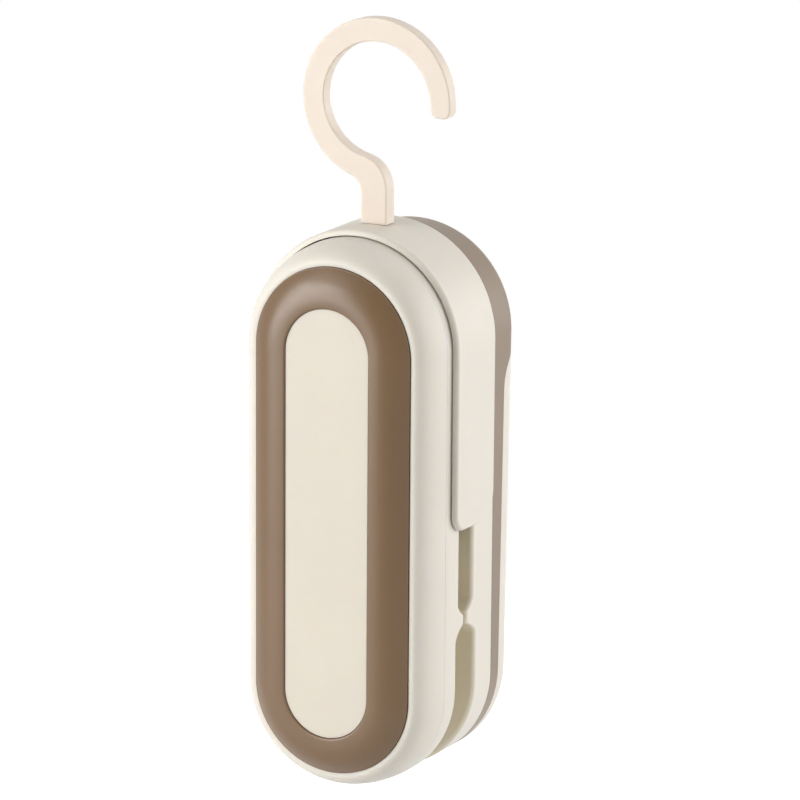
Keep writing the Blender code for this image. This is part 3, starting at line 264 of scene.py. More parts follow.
# Screws
LEVER_SCREWS = ["lever_screw_1", "lever_screw_2", "lever_screw_3", "lever_screw_4"]
BASE_SCREWS = ["base_screw_1", "base_screw_2"]
SCREW_RADIUS = 1.0
SCREW_HEAD = 2.0
SCREW_HEAD_HEIGHT = 1.2
SCREW_LENGTH = 7.0
SCREW_SIZES = {
    "Head Radius": SCREW_HEAD,
    "Head Height": SCREW_HEAD_HEIGHT,
    "Crown Radius": 3.0,
    "Shank Radius": 0.85,
    "Length": SCREW_LENGTH,
    "Tip Length": 1.4,
    "Tip Radius": 0.33,
    "Pitch": 0.9,
    "Thread Depth": 0.15,
    "Recess Width": 0.5,
    "Recess Span": 2.3,
    "Recess Depth": 0.8,
}
SHANK_OVERLAP = 0.25
BOSS = 2.8

# Springs, wires and cells
SPRING_WIRE = 0.7
SPRING_TURNS = 4.0
CONTACT_WIRE = 0.6
CONTACT_TURNS = 3.0
CONTACT_TOP = 1.8
WIRE_RADIUS = 0.6
WIRE_WAY = 0.9
WIRE_SPREAD = 1.6
CELL_NUB = 2.75
CELL_NUB_LENGTH = 1.3
CELL_ROLL = 0.6
CELL_FOLD = 1.3

# Light, floor and camera; a light has its place from the sealer's middle and its power
AMBIENT = 0.2
FLOOR_DROP = 0.25
FLOOR_SIZE = 1.8
FLOOR_GREY = 0.7
FLOOR_ROUGHNESS = 0.9
FLOOR_LIFT = 0.65
FLOOR_FADE = (0.3, 0.75)
SOFT_BOX = 0.7
LIGHTS = (
    ("front_left", (-0.6, -0.75, 0.15), 7.6),
    ("front_left_high", (-0.5, -0.65, 0.6), 2.0),
    ("right", (0.95, -0.05, 0.15), 2.5),
    ("above", (0.0, 0.0, 1.0), 0.8),
    ("back_right", (0.75, 0.6, 0.2), 5.3),
    ("back_high", (0.0, 0.55, 0.8), 1.0),
)
CAMERA_LENS = 207.0
CAMERA_SENSOR = 36.0
CAMERA_PLACE = Vector((0.436759, -0.828763, 0.160578))
CAMERA_RIGHT = Vector((0.886287, 0.46308, 0.007292))
CAMERA_UP = Vector((-0.119962, 0.214331, 0.969367))

# How finely round shapes are divided
ARC_STEPS = 48
ROUND_STEPS = 6
FLARE_STEPS = 26
CROWN_STEPS = 30
RIM_STEPS = 7
QUARTER_TURN = [math.pi / 2 * step / RIM_STEPS for step in range(RIM_STEPS + 1)]
TURN_STEPS = 40
REAR_ROUND_STEPS = 14
DOOR_CURVE_STEPS = 24
GROOVE_STEPS = 32
COLLAR_LEG_STEPS = 6
COLLAR_CORNER_STEPS = 12
HOOK_INSIDE_STEPS = 110
HOOK_OUTSIDE_STEPS = 130
HOOK_SHOULDER_STEPS = 20
HOOK_FILLET_STEPS = 16
HOOK_TIP_STEPS = 10
SCREW_SIDES = 32
THREAD_STEPS = 24
THREAD_SIDES = 3
SPRING_STEPS = 40
SPRING_SIDES = 12
EDGE_SEGMENTS = 3
LEAD_LEVELS = 2
SIDE_STEP = 6.0
RIDGE_STEP = 0.2
FOOT_STEP = 3.0
SHARP = math.radians(32)
FLAT = math.radians(0.5)
NORMAL_WEIGHT = 80
MERGE = 0.000005


def stops(spacing, low, high):
    """Even heights from high down to low, ends left out."""
    count = max(2, round((high - low) / spacing))
    return [high + (low - high) * step / count for step in range(1, count)]


PLAIN_SIDE = stops(SIDE_STEP, -ARC, ARC)
RIDGE_SIDE = stops(SIDE_STEP, RIDGE_Z + RIDGE_ABOVE, ARC)
RIDGE_SIDE += stops(RIDGE_STEP, RIDGE_Z - RIDGE_BELOW, RIDGE_Z + RIDGE_ABOVE)
RIDGE_SIDE += stops(FOOT_STEP, -ARC, RIDGE_Z - RIDGE_BELOW)


def mesh_of(bm):
    """Turns an edit mesh into a mesh with its faces pointing out."""
    bmesh.ops.recalc_face_normals(bm, faces=bm.faces)
    mesh = bpy.data.meshes.new("shape")
    bm.to_mesh(mesh)
    bm.free()
    return mesh


def joined(*meshes):
    """Several shapes in one mesh."""
    bm = bmesh.new()
    for mesh in meshes:
        bm.from_mesh(mesh)
    return mesh_of(bm)


def arc(centre, radius, start, end, steps=ROUND_STEPS):
    """Points of a circular arc between two angles in degrees."""
    points = []
    for step in range(steps + 1):
        angle = math.radians(start + (end - start) * step / steps)
        points.append((centre[0] + radius * math.cos(angle), centre[1] + radius * math.sin(angle)))
    return points


def outline(half_width, depth, side, drop=0.0):
    """The casing's stadium outline at a depth that may change with height; drop lowers its top.
    Outside the ring the foot reaches a little lower the further back it lies."""
    level = depth if callable(depth) else lambda z: depth
    outside = min(1.0, max(0.0, (half_width - RING) / (CASE - RING)))
    foot = FOOT_DROP * outside * max(0.0, level(-ARC)) / REAR
    right = [(-x, z) for x, z in arc((0.0, ARC - drop), half_width, 90, 180, ARC_STEPS)]
    right += [(half_width, z) for z in side]
    right += arc((0.0, -ARC - foot), half_width, 0, -90, ARC_STEPS)
    right = [(x, level(z), z) for x, z in right]
    left = [(-x, y, z) for x, y, z in reversed(right[1:-1])]
    return right + left


def flat_cap(bm, ring):
    """Closes a flat ring with one face."""
    bm.faces.new(ring)


def strip_cap(bm, ring):
    """Closes a ring with strips between its matching halves."""
    count = len(ring)
    for index in range(count // 2):
        corners = (index, index + 1, (count - index - 1) % count, -index % count)
        bm.faces.new(list(dict.fromkeys(ring[corner] for corner in corners)))


def bridge(bm, rings):
    """Joins each ring of points to the next with a strip of faces."""
    for near, far in zip(rings, rings[1:]):
        for index in range(len(near)):
            bm.faces.new((near[index - 1], near[index], far[index], far[index - 1]))


def skinned(loops, close=strip_cap):
    """Skins loops of points and closes both ends; with no way to close them the last meets the first."""
    bm = bmesh.new()
    rings = [[bm.verts.new(place(*point)) for point in loop] for loop in loops]
    if close:
        close(bm, rings[0])
        close(bm, rings[-1])
    else:
        rings.append(rings[0])
    bridge(bm, rings)
    return mesh_of(bm)


def lofted(stations, side=PLAIN_SIDE, close=strip_cap):
    """A moulding from (half width, depth) stations of the casing's outline, with a drop if given."""
    loops = [outline(half_width, depth, side, *drop) for half_width, depth, *drop in stations]
    return skinned(loops, close)


def prism(points, low, high, axis):
    """A flat outline with thickness along X (points in y, z), Y (x, z) or Z (x, y)."""
    at = "XYZ".index(axis)
    loops = [[(*pair[:at], level, *pair[at:]) for pair in points] for level in (low, high)]
    return skinned(loops, flat_cap)


def block(x_low, x_high, y_low, y_high, z_low, z_high):
    """A straight block between two corners."""
    corners = [(x_low, y_low), (x_high, y_low), (x_high, y_high), (x_low, y_high)]
    return prism(corners, z_low, z_high, "Z")


def rod(radius, start, end, steps=TURN_STEPS):
    """A round bar between two points."""
    near = place(*start)
    far = place(*end)
    turn = Vector((0, 0, 1)).rotation_difference(far - near).to_matrix().to_4x4()
    bm = bmesh.new()
    bmesh.ops.create_cone(
        bm,
        cap_ends=True,
        segments=steps,
        radius1=radius * MM,
        radius2=radius * MM,
        depth=(far - near).length,
        matrix=Matrix.Translation((near + far) / 2) @ turn,
    )
    return mesh_of(bm)


def deep_rod(radius, x, z, front, rear):
    """A round bar from one depth to another."""
    return rod(radius, (x, front, z), (x, rear, z))


def settled(body):
    """A plain mesh of an object with its modifiers worked in; the object is removed."""
    graph = bpy.context.evaluated_depsgraph_get()
    mesh = bpy.data.meshes.new_from_object(body.evaluated_get(graph), depsgraph=graph)
    bpy.data.objects.remove(body, do_unlink=True)
    return mesh


def linked(name, data):
    """A new object in the scene."""
    made = bpy.data.objects.new(name, data)
    bpy.context.scene.collection.objects.link(made)
    return made


def draft(mesh):
    """A working object for a mesh."""
    return linked("draft", mesh)


def worked(mesh, operation, *tools):
    """A mesh after it was joined with, or cut by, tool shapes one after the other."""
    body = draft(mesh)
    helpers = []
    for tool in tools:
        helper = draft(tool)
        modifier = body.modifiers.new("work", "BOOLEAN")
        modifier.operation = operation
        modifier.solver = "EXACT"
        modifier.object = helper
        helpers.append(helper)
    result = settled(body)
    for helper in helpers:
        bpy.data.objects.remove(helper, do_unlink=True)
    return result


def smoothed(mesh):
    """A mesh shaded smooth across its rounds, with flat faces kept flat and edges kept crisp."""
    mesh.shade_smooth()
    mesh.set_sharp_from_angle(angle=SHARP)
    body = draft(mesh)
    normals = body.modifiers.new("normals", "WEIGHTED_NORMAL")
    normals.keep_sharp = True
    normals.weight = NORMAL_WEIGHT
    return settled(body)


def piece(name, mesh, material, *nodes):
    """A finished piece that stands for its nodes and rides on their body."""
    mesh.name = name
    mesh.materials.clear()
    mesh.materials.append(material)
    made = linked(name, mesh)
    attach(made, BODY_OF[nodes[0]])
    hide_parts(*nodes)
    return made


def mark_gap_bounce(made, facing):
    """Marks how far each point of a jaw is turned to the other jaw; facing is 1 if that is behind."""
    # painted light: this mask sets where the cream takes painted warm bounce light, standing in for
    # light bounced about in the shaded gap between the jaws
    marks = made.data.attributes.new(GAP_BOUNCE_MARK, "FLOAT", "POINT")
    for vertex, mark in zip(made.data.vertices, marks.data):
        level = math.hypot(vertex.normal.x, vertex.normal.y) + INWARD_FLOOR
        turned = INWARD_GAIN * facing * vertex.normal.y / level - INWARD_START
        mark.value = min(1.0, max(0.0, turned))


def adder(tree):
    """A function that adds a node to a tree and sets or links its inputs; a list links several."""

    def add(kind, settings=None, **inputs):
        """Adds one node."""
        node = tree.nodes.new(kind)
        for key, value in (settings or {}).items():
            setattr(node, key, value)
        for key, value in inputs.items():
            wanted = key.replace("_", " ")
            socket = next(s for s in node.inputs if s.name == wanted or s.identifier in (wanted, key))
            for source in value if isinstance(value, list) else [value]:
                if isinstance(source, bpy.types.NodeSocket):
                    tree.links.new(source, socket)
                else:
                    socket.default_value = source
        return node

    return add


def reckoned(add, operation, *values):
    """Output of a Math node on one to three values or outputs."""
    inputs = dict(zip(("Value", "Value_001", "Value_002"), values))
    return add("ShaderNodeMath", {"operation": operation}, **inputs).outputs["Value"]


# Materials

BARE = "bare"
# Painted light: this mark and the numbers below set where jaw faces inside the gap take a yellower
# cream, painted warm bounce light of the shaded gap
GAP_BOUNCE_MARK = "inward"
INWARD_FLOOR = 0.2
INWARD_GAIN = 2.0
INWARD_START = 0.7
CLOUD_LOW = 0.3
CLOUD_HIGH = 0.7
GLOW_COLOURS = (1.0, 0.75, 0.4)
GLOW_DEPTH = 0.0012
DRAWN_STRETCH = (0.1, 1.0, 1.0)


def shade(colour, factor):
    """A colour made lighter or darker, with full alpha."""
    return (*(min(1.0, channel * factor) for channel in colour), 1.0)


def drift(colour, spread):
    """Marks of a colour ramp from a darker to a lighter shade, over the span of a cloudy pattern."""
    return [(CLOUD_LOW, shade(colour, 1 - spread)), (CLOUD_HIGH, shade(colour, 1 + spread))]


class Finish:
    """A node material in the making, with its shader's sockets and the piece's own coordinates."""

    def __init__(self, name):
        """Starts from a plain material."""
        self.material = bpy.data.materials.new(name)
        self.material.use_nodes = True
        self.shader = self.material.node_tree.nodes["Principled BSDF"].inputs
        self.add = adder(self.material.node_tree)
        self.spot = self.add("ShaderNodeTexCoord").outputs["Object"]

    def fix(self, socket, value):
        """Sets one of the shader's sockets to a value that is the same all over."""
        self.shader[socket].default_value = value

    def link(self, output, socket):
        """Links a node's output to the shader."""
        self.material.node_tree.links.new(output, self.shader[socket])

    def noise(self, scale, detail, roughness=0.5, spot=None):
        """A cloudy pattern from 0 to 1."""
        inputs = {"Vector": spot or self.spot, "Scale": scale, "Detail": detail, "Roughness": roughness}
        return self.add("ShaderNodeTexNoise", **inputs).outputs["Fac"]

    def ramp(self, share, marks):
        """A base colour that passes through marked colours."""
        node = self.add("ShaderNodeValToRGB", Fac=share)
        elements = node.color_ramp.elements
        elements[0].position = marks[0][0]
        elements[1].position = marks[1][0]
        for mark, _ in marks[2:]:
            elements.new(mark)
        for element, (_, colour) in zip(elements, marks):
            element.color = colour
        self.link(node.outputs["Color"], "Base Color")

    def clouds(self, colour, spread, scale, gap_bounce=None):
        """A base colour that drifts a little lighter and darker over the piece, with a yellower one,
        painted warm bounce light of the shaded gap, for the faces that the mesh marks as turned inward."""
        share = self.noise(scale, detail=3.0, roughness=0.55)
        marks = drift(colour, spread)
        if gap_bounce:
            # painted light: the inward mark blends in the painted warm bounce light of the gap
            inward = self.add("ShaderNodeAttribute", {"attribute_name": GAP_BOUNCE_MARK}).outputs["Fac"]
            half = reckoned(self.add, "MULTIPLY", share, 0.5)
            share = reckoned(self.add, "MULTIPLY_ADD", inward, 0.5, half)
            marks = [(mark / 2, tone) for mark, tone in marks]
            marks += [(0.5 + mark / 2, tone) for mark, tone in drift(gap_bounce, spread)]
        self.ramp(share, marks)

    def gloss(self, roughness, spread, scale):
        """Roughness that wanders round a middle value."""
        span = self.add(
            "ShaderNodeMapRange",
            Value=self.noise(scale, detail=4.0),
            From_Min=CLOUD_LOW,
            From_Max=CLOUD_HIGH,
            To_Min=roughness - spread,
            To_Max=roughness + spread,
        )
        self.link(span.outputs["Result"], "Roughness")

    def relief(self, height, strength, distance, **under):
        """Fine bumps on the surface, on top of others where they are given as Normal."""
        inputs = {"Height": height, "Strength": strength, "Distance": distance}
        bump = self.add("ShaderNodeBump", **inputs, **under).outputs["Normal"]
        self.link(bump, "Normal")
        return bump


def moulded_plastic(
    name, colour, roughness, grain, spread=0.015, specular=0.5, through=0.0, gap_bounce=None
):
    """Injection-moulded plastic: a fine spark-eroded grain, faint flow clouds, uneven gloss, and
    where light goes through it, a share of soft light from inside. A second colour, painted warm
    bounce light of the shaded gap between the jaws, shows on the faces that the mesh marks as turned
    inward."""
    finish = Finish(name)
    finish.clouds(colour, spread, scale=70.0, gap_bounce=gap_bounce)
    finish.gloss(roughness, spread=0.03, scale=900.0)
    flow = finish.noise(scale=120.0, detail=1.0)
    swell = finish.relief(flow, strength=0.05, distance=0.0002)
    pits = finish.noise(scale=5200.0, detail=2.0)
    finish.relief(pits, strength=grain, distance=0.00003, Normal=swell)
    finish.fix("Specular IOR Level", specular)
    finish.fix("Subsurface Weight", through)
    finish.fix("Subsurface Radius", GLOW_COLOURS)
    finish.fix("Subsurface Scale", GLOW_DEPTH)
    return finish.material


def wire_cover(name, colour):
    """Smooth soft plastic round a lead."""
    return moulded_plastic(name, colour, roughness=0.45, grain=0.05, spread=0.04)


def drawn_metal(name, colour, roughness):
    """Drawn or rolled metal: fine lines along X and slightly uneven gloss."""
    finish = Finish(name)
    finish.clouds(colour, spread=0.04, scale=300.0)
    finish.gloss(roughness, spread=0.08, scale=700.0)
    lined = finish.add("ShaderNodeMapping", Vector=finish.spot, Scale=DRAWN_STRETCH).outputs["Vector"]
    lines = finish.noise(scale=1500.0, detail=3.0, spot=lined)
    finish.relief(lines, strength=0.12, distance=0.00002)
    finish.fix("Metallic", 1.0)
    return finish.material


def coated_cloth(name, colour):
    """Glass cloth with a non-stick coat: a fine plain weave under a waxy sheen."""
    finish = Finish(name)
    finish.clouds(colour, spread=0.06, scale=400.0)
    finish.gloss(roughness=0.5, spread=0.06, scale=600.0)
    threads = []
    for along in ("X", "Z"):
        bands = {"bands_direction": along}
        wave = finish.add("ShaderNodeTexWave", bands, Vector=finish.spot, Scale=900.0)
        threads.append(wave.outputs["Fac"])
    weave = reckoned(finish.add, "MULTIPLY", *threads)
    finish.relief(weave, strength=0.3, distance=0.00004)
    return finish.material


def pressed_board(name, colour):
    """Heat-proof board: pressed flakes, matt and slightly rough."""
    finish = Finish(name)
    finish.clouds(colour, spread=0.15, scale=1200.0)
    finish.gloss(roughness=0.75, spread=0.08, scale=900.0)
    flakes = finish.add("ShaderNodeTexVoronoi", Vector=finish.spot, Scale=1800.0)
    finish.relief(flakes.outputs["Distance"], strength=0.2, distance=0.00005)
    return finish.material


def cell_skin(name, jacket, bare):
    """A battery cell: a thin coloured jacket, and bare metal where the mesh says so."""
    finish = Finish(name)
    share = finish.add("ShaderNodeAttribute", {"attribute_name": BARE}).outputs["Fac"]
    finish.ramp(share, [(0.45, shade(jacket, 1.0)), (0.55, shade(bare, 1.0))])
    finish.gloss(roughness=0.32, spread=0.06, scale=500.0)
    finish.relief(finish.noise(scale=250.0, detail=2.0), strength=0.08, distance=0.0001)
    finish.fix("Metallic", 1.0)
    return finish.material


STEEL_COLOUR = (0.62, 0.62, 0.6)
BLACK = (0.03, 0.03, 0.032)
# Painted light: a lighter, yellower cream that stands in for the warm light bounced about in the shaded
# gap between the jaws
GAP_BOUNCE_CREAM = (0.85, 0.785, 0.625)
CREAM_GLOW = 0.35
# the cream's jaw faces inside the gap take the painted warm bounce light
CREAM = moulded_plastic(
    "cream_plastic", (0.797, 0.746, 0.66), roughness=0.5, grain=0.1, through=CREAM_GLOW, gap_bounce=GAP_BOUNCE_CREAM
)
PANEL_CREAM = moulded_plastic(
    "panel_plastic", (0.75, 0.69, 0.587), roughness=0.5, grain=0.08, through=CREAM_GLOW
)
HOOK_CREAM = moulded_plastic(
    "hook_plastic", (0.813, 0.713, 0.609), roughness=0.42, grain=0.06, through=CREAM_GLOW
)
RING_BROWN = moulded_plastic(
    "ring_brown_plastic", (0.148, 0.073, 0.017), roughness=0.34, grain=0.1, spread=0.03, specular=0.75
)
BAND_BROWN = moulded_plastic(
    "band_brown_plastic", (0.256, 0.188, 0.131), roughness=0.4, grain=0.1, spread=0.03
)
BLACK_PLASTIC = moulded_plastic("black_plastic", BLACK, roughness=0.5, grain=0.2, spread=0.05)
SILICONE = moulded_plastic(
    "silicone", (0.72, 0.69, 0.63), roughness=0.7, grain=0.15, spread=0.03, specular=0.3
)
RED_COVER = wire_cover("red_wire_cover", (0.5, 0.04, 0.03))
BLACK_COVER = wire_cover("black_wire_cover", BLACK)
CELL_JACKET = cell_skin("cell_jacket", (0.12, 0.2, 0.3), STEEL_COLOUR)
STEEL = drawn_metal("bright_steel", STEEL_COLOUR, roughness=0.3)
PLATED = drawn_metal("plated_brass", (0.72, 0.68, 0.55), roughness=0.35)
BOARD = pressed_board("heatproof_board", (0.5, 0.36, 0.2))
CLOTH = coated_cloth("non_stick_cloth", (0.45, 0.33, 0.2))


# Edges of the jaws seen from the side


def smooth_share(share):
    """An S-shaped share: level at both ends."""
    return share * share * (3 - 2 * share)


def run_out(away, length):
    """Share of a ramp's drop: steep at the ridge and level where it meets the wall."""
    return 1 - (1 - min(1.0, away / length)) ** RUN_OUT


def ridge_depth(z, tip, flat, above, below):
    """Depth of a jaw's face with its ridge; above and below hold a depth and a ramp's length."""
    away = abs(z - RIDGE_Z) - flat
    if away <= 0:
        return tip
    face, ramp = above if z > RIDGE_Z else below
    return tip + (face - tip) * run_out(away, ramp)


def lever_edge(z):
    """Depth of the lever's rear face: flat above, the ridge, and a longer ramp below it."""
    above = (LEVER_REAR, LEVER_RISE)
    return ridge_depth(z, LEVER_TIP, LEVER_FLAT, above, (LEVER_REAR - LEVER_RELIEF, LEVER_FALL))


def base_edge(z):
    """Depth of the base's front face: flat above, the ridge, and set further back below it."""
    above = (BASE_FRONT, BASE_RISE)
    return ridge_depth(z, BASE_TIP, BASE_FLAT, above, (BASE_FRONT + BASE_RELIEF, BASE_FALL))


def rounded_rim(half_width, edge, radius, outward):
    """Stations round an outer rim whose face lies at edge(z); outward is 1 if the face looks back."""
    stations = []
    for angle in QUARTER_TURN:
        width = half_width - radius * (1 - math.cos(angle))
        lift = radius * (1 - math.sin(angle))
        stations.append((width, lambda z, lift=lift: edge(z) - outward * lift))
    return stations


def flare(turn):
    """Half width and depth of the lever's wall, a quarter of an ellipse from the lip outwards."""
    start = RING + LIP
    return start + (CASE - start) * math.sin(turn), FLARE_DEPTH * (1 - math.cos(turn))


def flare_to(depth):
    """Turn of the ellipse at a depth."""
    return math.acos(1 - depth / FLARE_DEPTH)


def hinge_ears(inside, root):
    """A pair of ears round the hinge pin, growing from a jaw's face at a depth."""
    toward = 0.0 if HINGE_Y > root else 180.0
    ear = arc((HINGE_Y, HINGE_Z), EAR_RADIUS, toward - 90, toward + 90, EAR_STEPS)
    ear += [(root, ear[-1][1]), (root, ear[0][1])]
    right = prism(ear, inside, inside + EAR_WIDTH, "X")
    left = prism(ear, -inside - EAR_WIDTH, -inside, "X")
    return joined(right, left)


def pin_bore():
    """The hole for the hinge pin through all the ears."""
    return rod(PIN_RADIUS + PIN_ROOM, (-CASE, HINGE_Y, HINGE_Z), (CASE, HINGE_Y, HINGE_Z))


def screw_seat(node):
    """Place of the middle of the underside of a screw's head."""
    low, high = measured(node)
    return (low.x + high.x) / 2, high.y - SCREW_HEAD_HEIGHT, (low.z + high.z) / 2


def screw_hole(x, z, front, rear):
    """The hole for a screw's shank from one depth to another."""
    return deep_rod(SCREW_RADIUS + ROOM, x, z, front, rear)


def ridge_slot(low, high, front, rear):
    """The slot across a jaw's ridge for the strip that lies between two corners."""
    half = (high.z - low.z) / 2 + SLOT_ROOM
    length = high.x + SLOT_ROOM
    return block(-length, length, front, rear, RIDGE_Z - half, RIDGE_Z + half)


def make_lever_shell():
    """Front half of the press lever: the pocket for the ring, and the flared wall."""
    pocket = RING + RING_SEAM
    split = LEVER_SPLIT - SLOT_ROOM - PARTING / 2
    floor = POCKET_DEPTH + WALL
    stations = [(pocket, POCKET_DEPTH)]
    stations += arc((pocket + LIP_ROUND, LIP_ROUND), LIP_ROUND, 180, 270)
    last = flare_to(split)
    for step in range(FLARE_STEPS + 1):
        stations.append(flare(last * step / FLARE_STEPS))
    wall_end = flare(last)[0]
    stations += [(wall_end - WALL, split), (flare(flare_to(floor + WALL))[0] - WALL, floor + WALL)]
    stations.append((pocket - WALL, floor))
    bosses = []
    holes = []
    for x, seat, z in map(screw_seat, LEVER_SCREWS):
        bosses.append(deep_rod(BOSS, x, z, POCKET_DEPTH + WALL / 2, LEVER_FLOOR - ROOM))
        holes.append(screw_hole(x, z, seat - SCREW_LENGTH - ROOM, LEVER_REAR))
    mesh = worked(lofted(stations), "UNION", joined(*bosses))
    mesh = worked(mesh, "DIFFERENCE", joined(*holes))
    piece("lever_front_shell", smoothed(mesh), CREAM, "lever_shell")


def make_lever_plate():
    """Rear half of the press lever with the pressing ridge, hinge ears, switch post and screw seats."""
    split = LEVER_SPLIT - SLOT_ROOM + PARTING / 2
    first = flare_to(split)
    inside = flare(first)[0] - WALL
    stations = [(inside, LEVER_FLOOR), (inside, split)]
    for step in range(RIM_STEPS + 2):
        stations.append(flare(first + (math.pi / 2 - first) * step / (RIM_STEPS + 1)))
    stations += rounded_rim(CASE, lever_edge, LEVER_RIM_ROUND, 1)
    mesh = lofted(stations, RIDGE_SIDE)
    root = LEVER_REAR - ROOT_DEPTH
    post = deep_rod(POST_RADIUS, 0, SWITCH_Z, root, BUTTON_LOW.y - POST_ROOM)
    seat = deep_rod(SPRING_BOSS, 0, SPRING_Z, root, LEVER_REAR + SPRING_BOSS_HEIGHT)
    mesh = worked(mesh, "UNION", joined(hinge_ears(LEVER_EAR_INSIDE, root), post, seat))
    beyond = LEVER_REAR + WALL
    holes = [ridge_slot(PAD_LOW, PAD_HIGH, PAD_LOW.y - SLOT_ROOM, LEVER_TIP + WALL), pin_bore()]
    for x, seat_y, z in map(screw_seat, LEVER_SCREWS):
        holes.append(screw_hole(x, z, LEVER_FLOOR - WALL, beyond))
        holes.append(deep_rod(SCREW_HEAD + ROOM, x, z, seat_y - ROOM, beyond))
    mesh = worked(mesh, "DIFFERENCE", *holes)
    # painted light: the plate's faces turned to the base take the painted warm bounce light of the gap
    mark_gap_bounce(piece("lever_rear_plate", smoothed(mesh), CREAM, "lever_plate"), 1)


def make_ring():
    """Brown grip ring: full at the panel and falling to the lever's lip in a soft curve."""
    inner = PANEL + PANEL_SEAM
    crown = inner + RING_INNER_ROUND
    lower = (PROUD - RING_STEP) * (RING_CREST / (1 - RING_CREST)) ** RING_FULLNESS
    stations = [(inner, RING_BACK)]
    stations += arc((crown, RING_INNER_ROUND + lower - PROUD), RING_INNER_ROUND, 180, 270)
    brink = RING - RING_STEP_ROUND
    for step in range(1, CROWN_STEPS + 1):
        share = step / CROWN_STEPS
        fall = (abs(share - RING_CREST) / (1 - RING_CREST)) ** RING_FULLNESS
        rise = PROUD - (PROUD - RING_STEP) * fall
        stations.append((crown + (brink - crown) * share, -rise))
    stations += arc((brink, RING_STEP_ROUND - RING_STEP), RING_STEP_ROUND, 270, 360)[1:]
    stations.append((RING, RING_BACK))
    mesh = smoothed(lofted(stations, close=None))
    piece("brown_grip_ring", mesh, RING_BROWN, "grip_ring")


def make_panel():
    """Flat cream panel a little below the ring's crown, with a softly rounded edge."""
    middle = (PANEL - PANEL_ROUND, PANEL_RECESS - PROUD + PANEL_ROUND)
    stations = arc(middle, PANEL_ROUND, 270, 360)
    stations.append((PANEL, RING_BACK))
    mesh = smoothed(lofted(stations))
    piece("cream_front_panel", mesh, PANEL_CREAM, "front_panel")


def collar_snaps(clearance):
    """Ribs inside the collar that grip the base, or with clearance the recesses for them."""
    inside = COLLAR_INNER - SNAP_DEPTH - clearance
    outside = COLLAR_INNER + COLLAR_THICKNESS / 2
    width = SNAP_HALF_WIDTH + clearance
    length = SNAP_HALF_LENGTH + clearance
    span = (SNAP_Y - width, SNAP_Y + width, SNAP_Z - length, SNAP_Z + length)
    return joined(block(inside, outside, *span), block(-outside, -inside, *span))


def wire_ways():
    """Grooves and holes in the base for the lead wires."""
    x = measured("lead_switched")[1].x - WIRE_RADIUS
    behind = BASE_FRONT + BASE_RELIEF + 2 * WALL
    groove_y = BASE_FRONT + WIRE_WAY
    ways = []
    for side in (-x, x):
        ways.append(deep_rod(WIRE_WAY, side, RIDGE_Z, STRIP_HIGH.y - 2 * ROOM, behind))
    for z in (SWITCH_Z - WIRE_SPREAD, SWITCH_Z + WIRE_SPREAD):
        ways.append(deep_rod(WIRE_WAY, x, z, groove_y, behind))
        across = (0.0, x + WIRE_WAY, BASE_FRONT - WALL, groove_y + WIRE_WAY)
        ways.append(block(*across, z - WIRE_WAY, z + WIRE_WAY))
    return ways


def make_base():
    """Front half of the base: rounded rim, sealing ridge with its slot, hinge ears and battery room."""
    floor = BASE_FRONT + WALL
    rear = BAND_FRONT - SEAM / 2
    stations = list(reversed(rounded_rim(CASE, base_edge, BASE_RIM_ROUND, -1)))
    stations += arc((CASE - BASE_REAR_ROUND, rear - BASE_REAR_ROUND), BASE_REAR_ROUND, 0, 90)
    stations += [(INNER, rear), (INNER, floor + BASE_RELIEF)]
    mesh = lofted(stations, RIDGE_SIDE)
    root = floor - WALL / 2
    seat = deep_rod(SPRING_BOSS, 0, SPRING_Z, root, BASE_FRONT - SPRING_BOSS_HEIGHT)
    additions = [hinge_ears(BASE_EAR_INSIDE, root), seat]
    well_low = (0, HOOK_Y, COLLAR_TOP - PEG_WELL_DEPTH)
    holes = [rod(PEG_WELL_RADIUS, well_low, (0, HOOK_Y, COLLAR_TOP))]
    for x, seat_y, z in map(screw_seat, BASE_SCREWS):
        additions.append(deep_rod(BOSS, x, z, floor, TAB_BACK - TAB_THICKNESS - ROOM))
        holes.append(screw_hole(x, z, seat_y - SCREW_LENGTH - ROOM, DOOR_FRONT))
    mesh = worked(mesh, "UNION", joined(*additions))
    holes.append(ridge_slot(STRIP_LOW, STRIP_HIGH, BASE_TIP - WALL, STRIP_HIGH.y + ROOM))
    side = TRAY_HIGH.x + ROOM
    holes.append(block(-side, side, floor, BAND_FRONT, TRAY_LOW.z - ROOM, TRAY_HIGH.z + ROOM))
    mesh = worked(mesh, "DIFFERENCE", collar_snaps(ROOM), pin_bore(), *holes, *wire_ways())
    # painted light: the base's faces turned to the lever take the painted warm bounce light of the gap
    mark_gap_bounce(piece("base_front_shell", smoothed(mesh), CREAM, "base_shell"), -1)


def leaning(half_width, y):
    """A station that leans back with height and is lower at the top the further back it lies."""
    drop = REAR_TOP_DROP * (y - BAND_FRONT) / (REAR - BAND_FRONT)
    return half_width, lambda z: y + REAR_SLOPE * z, drop


def rear_cup():
    """The whole back of the base before it is parted into band and door."""
    front = BAND_FRONT + SEAM / 2
    straight = REAR - REAR_ROUND
    stations = [leaning(CASE - REAR_ROUND, REAR - WALL), leaning(INNER, straight), (INNER, front)]
    stations += arc((CASE - BAND_ROUND, front + BAND_ROUND), BAND_ROUND, -90, 0)
    curve = arc((CASE - REAR_ROUND, straight), REAR_ROUND, 0, 90, REAR_ROUND_STEPS)
    stations += [leaning(*spot) for spot in curve]
    return lofted(stations)


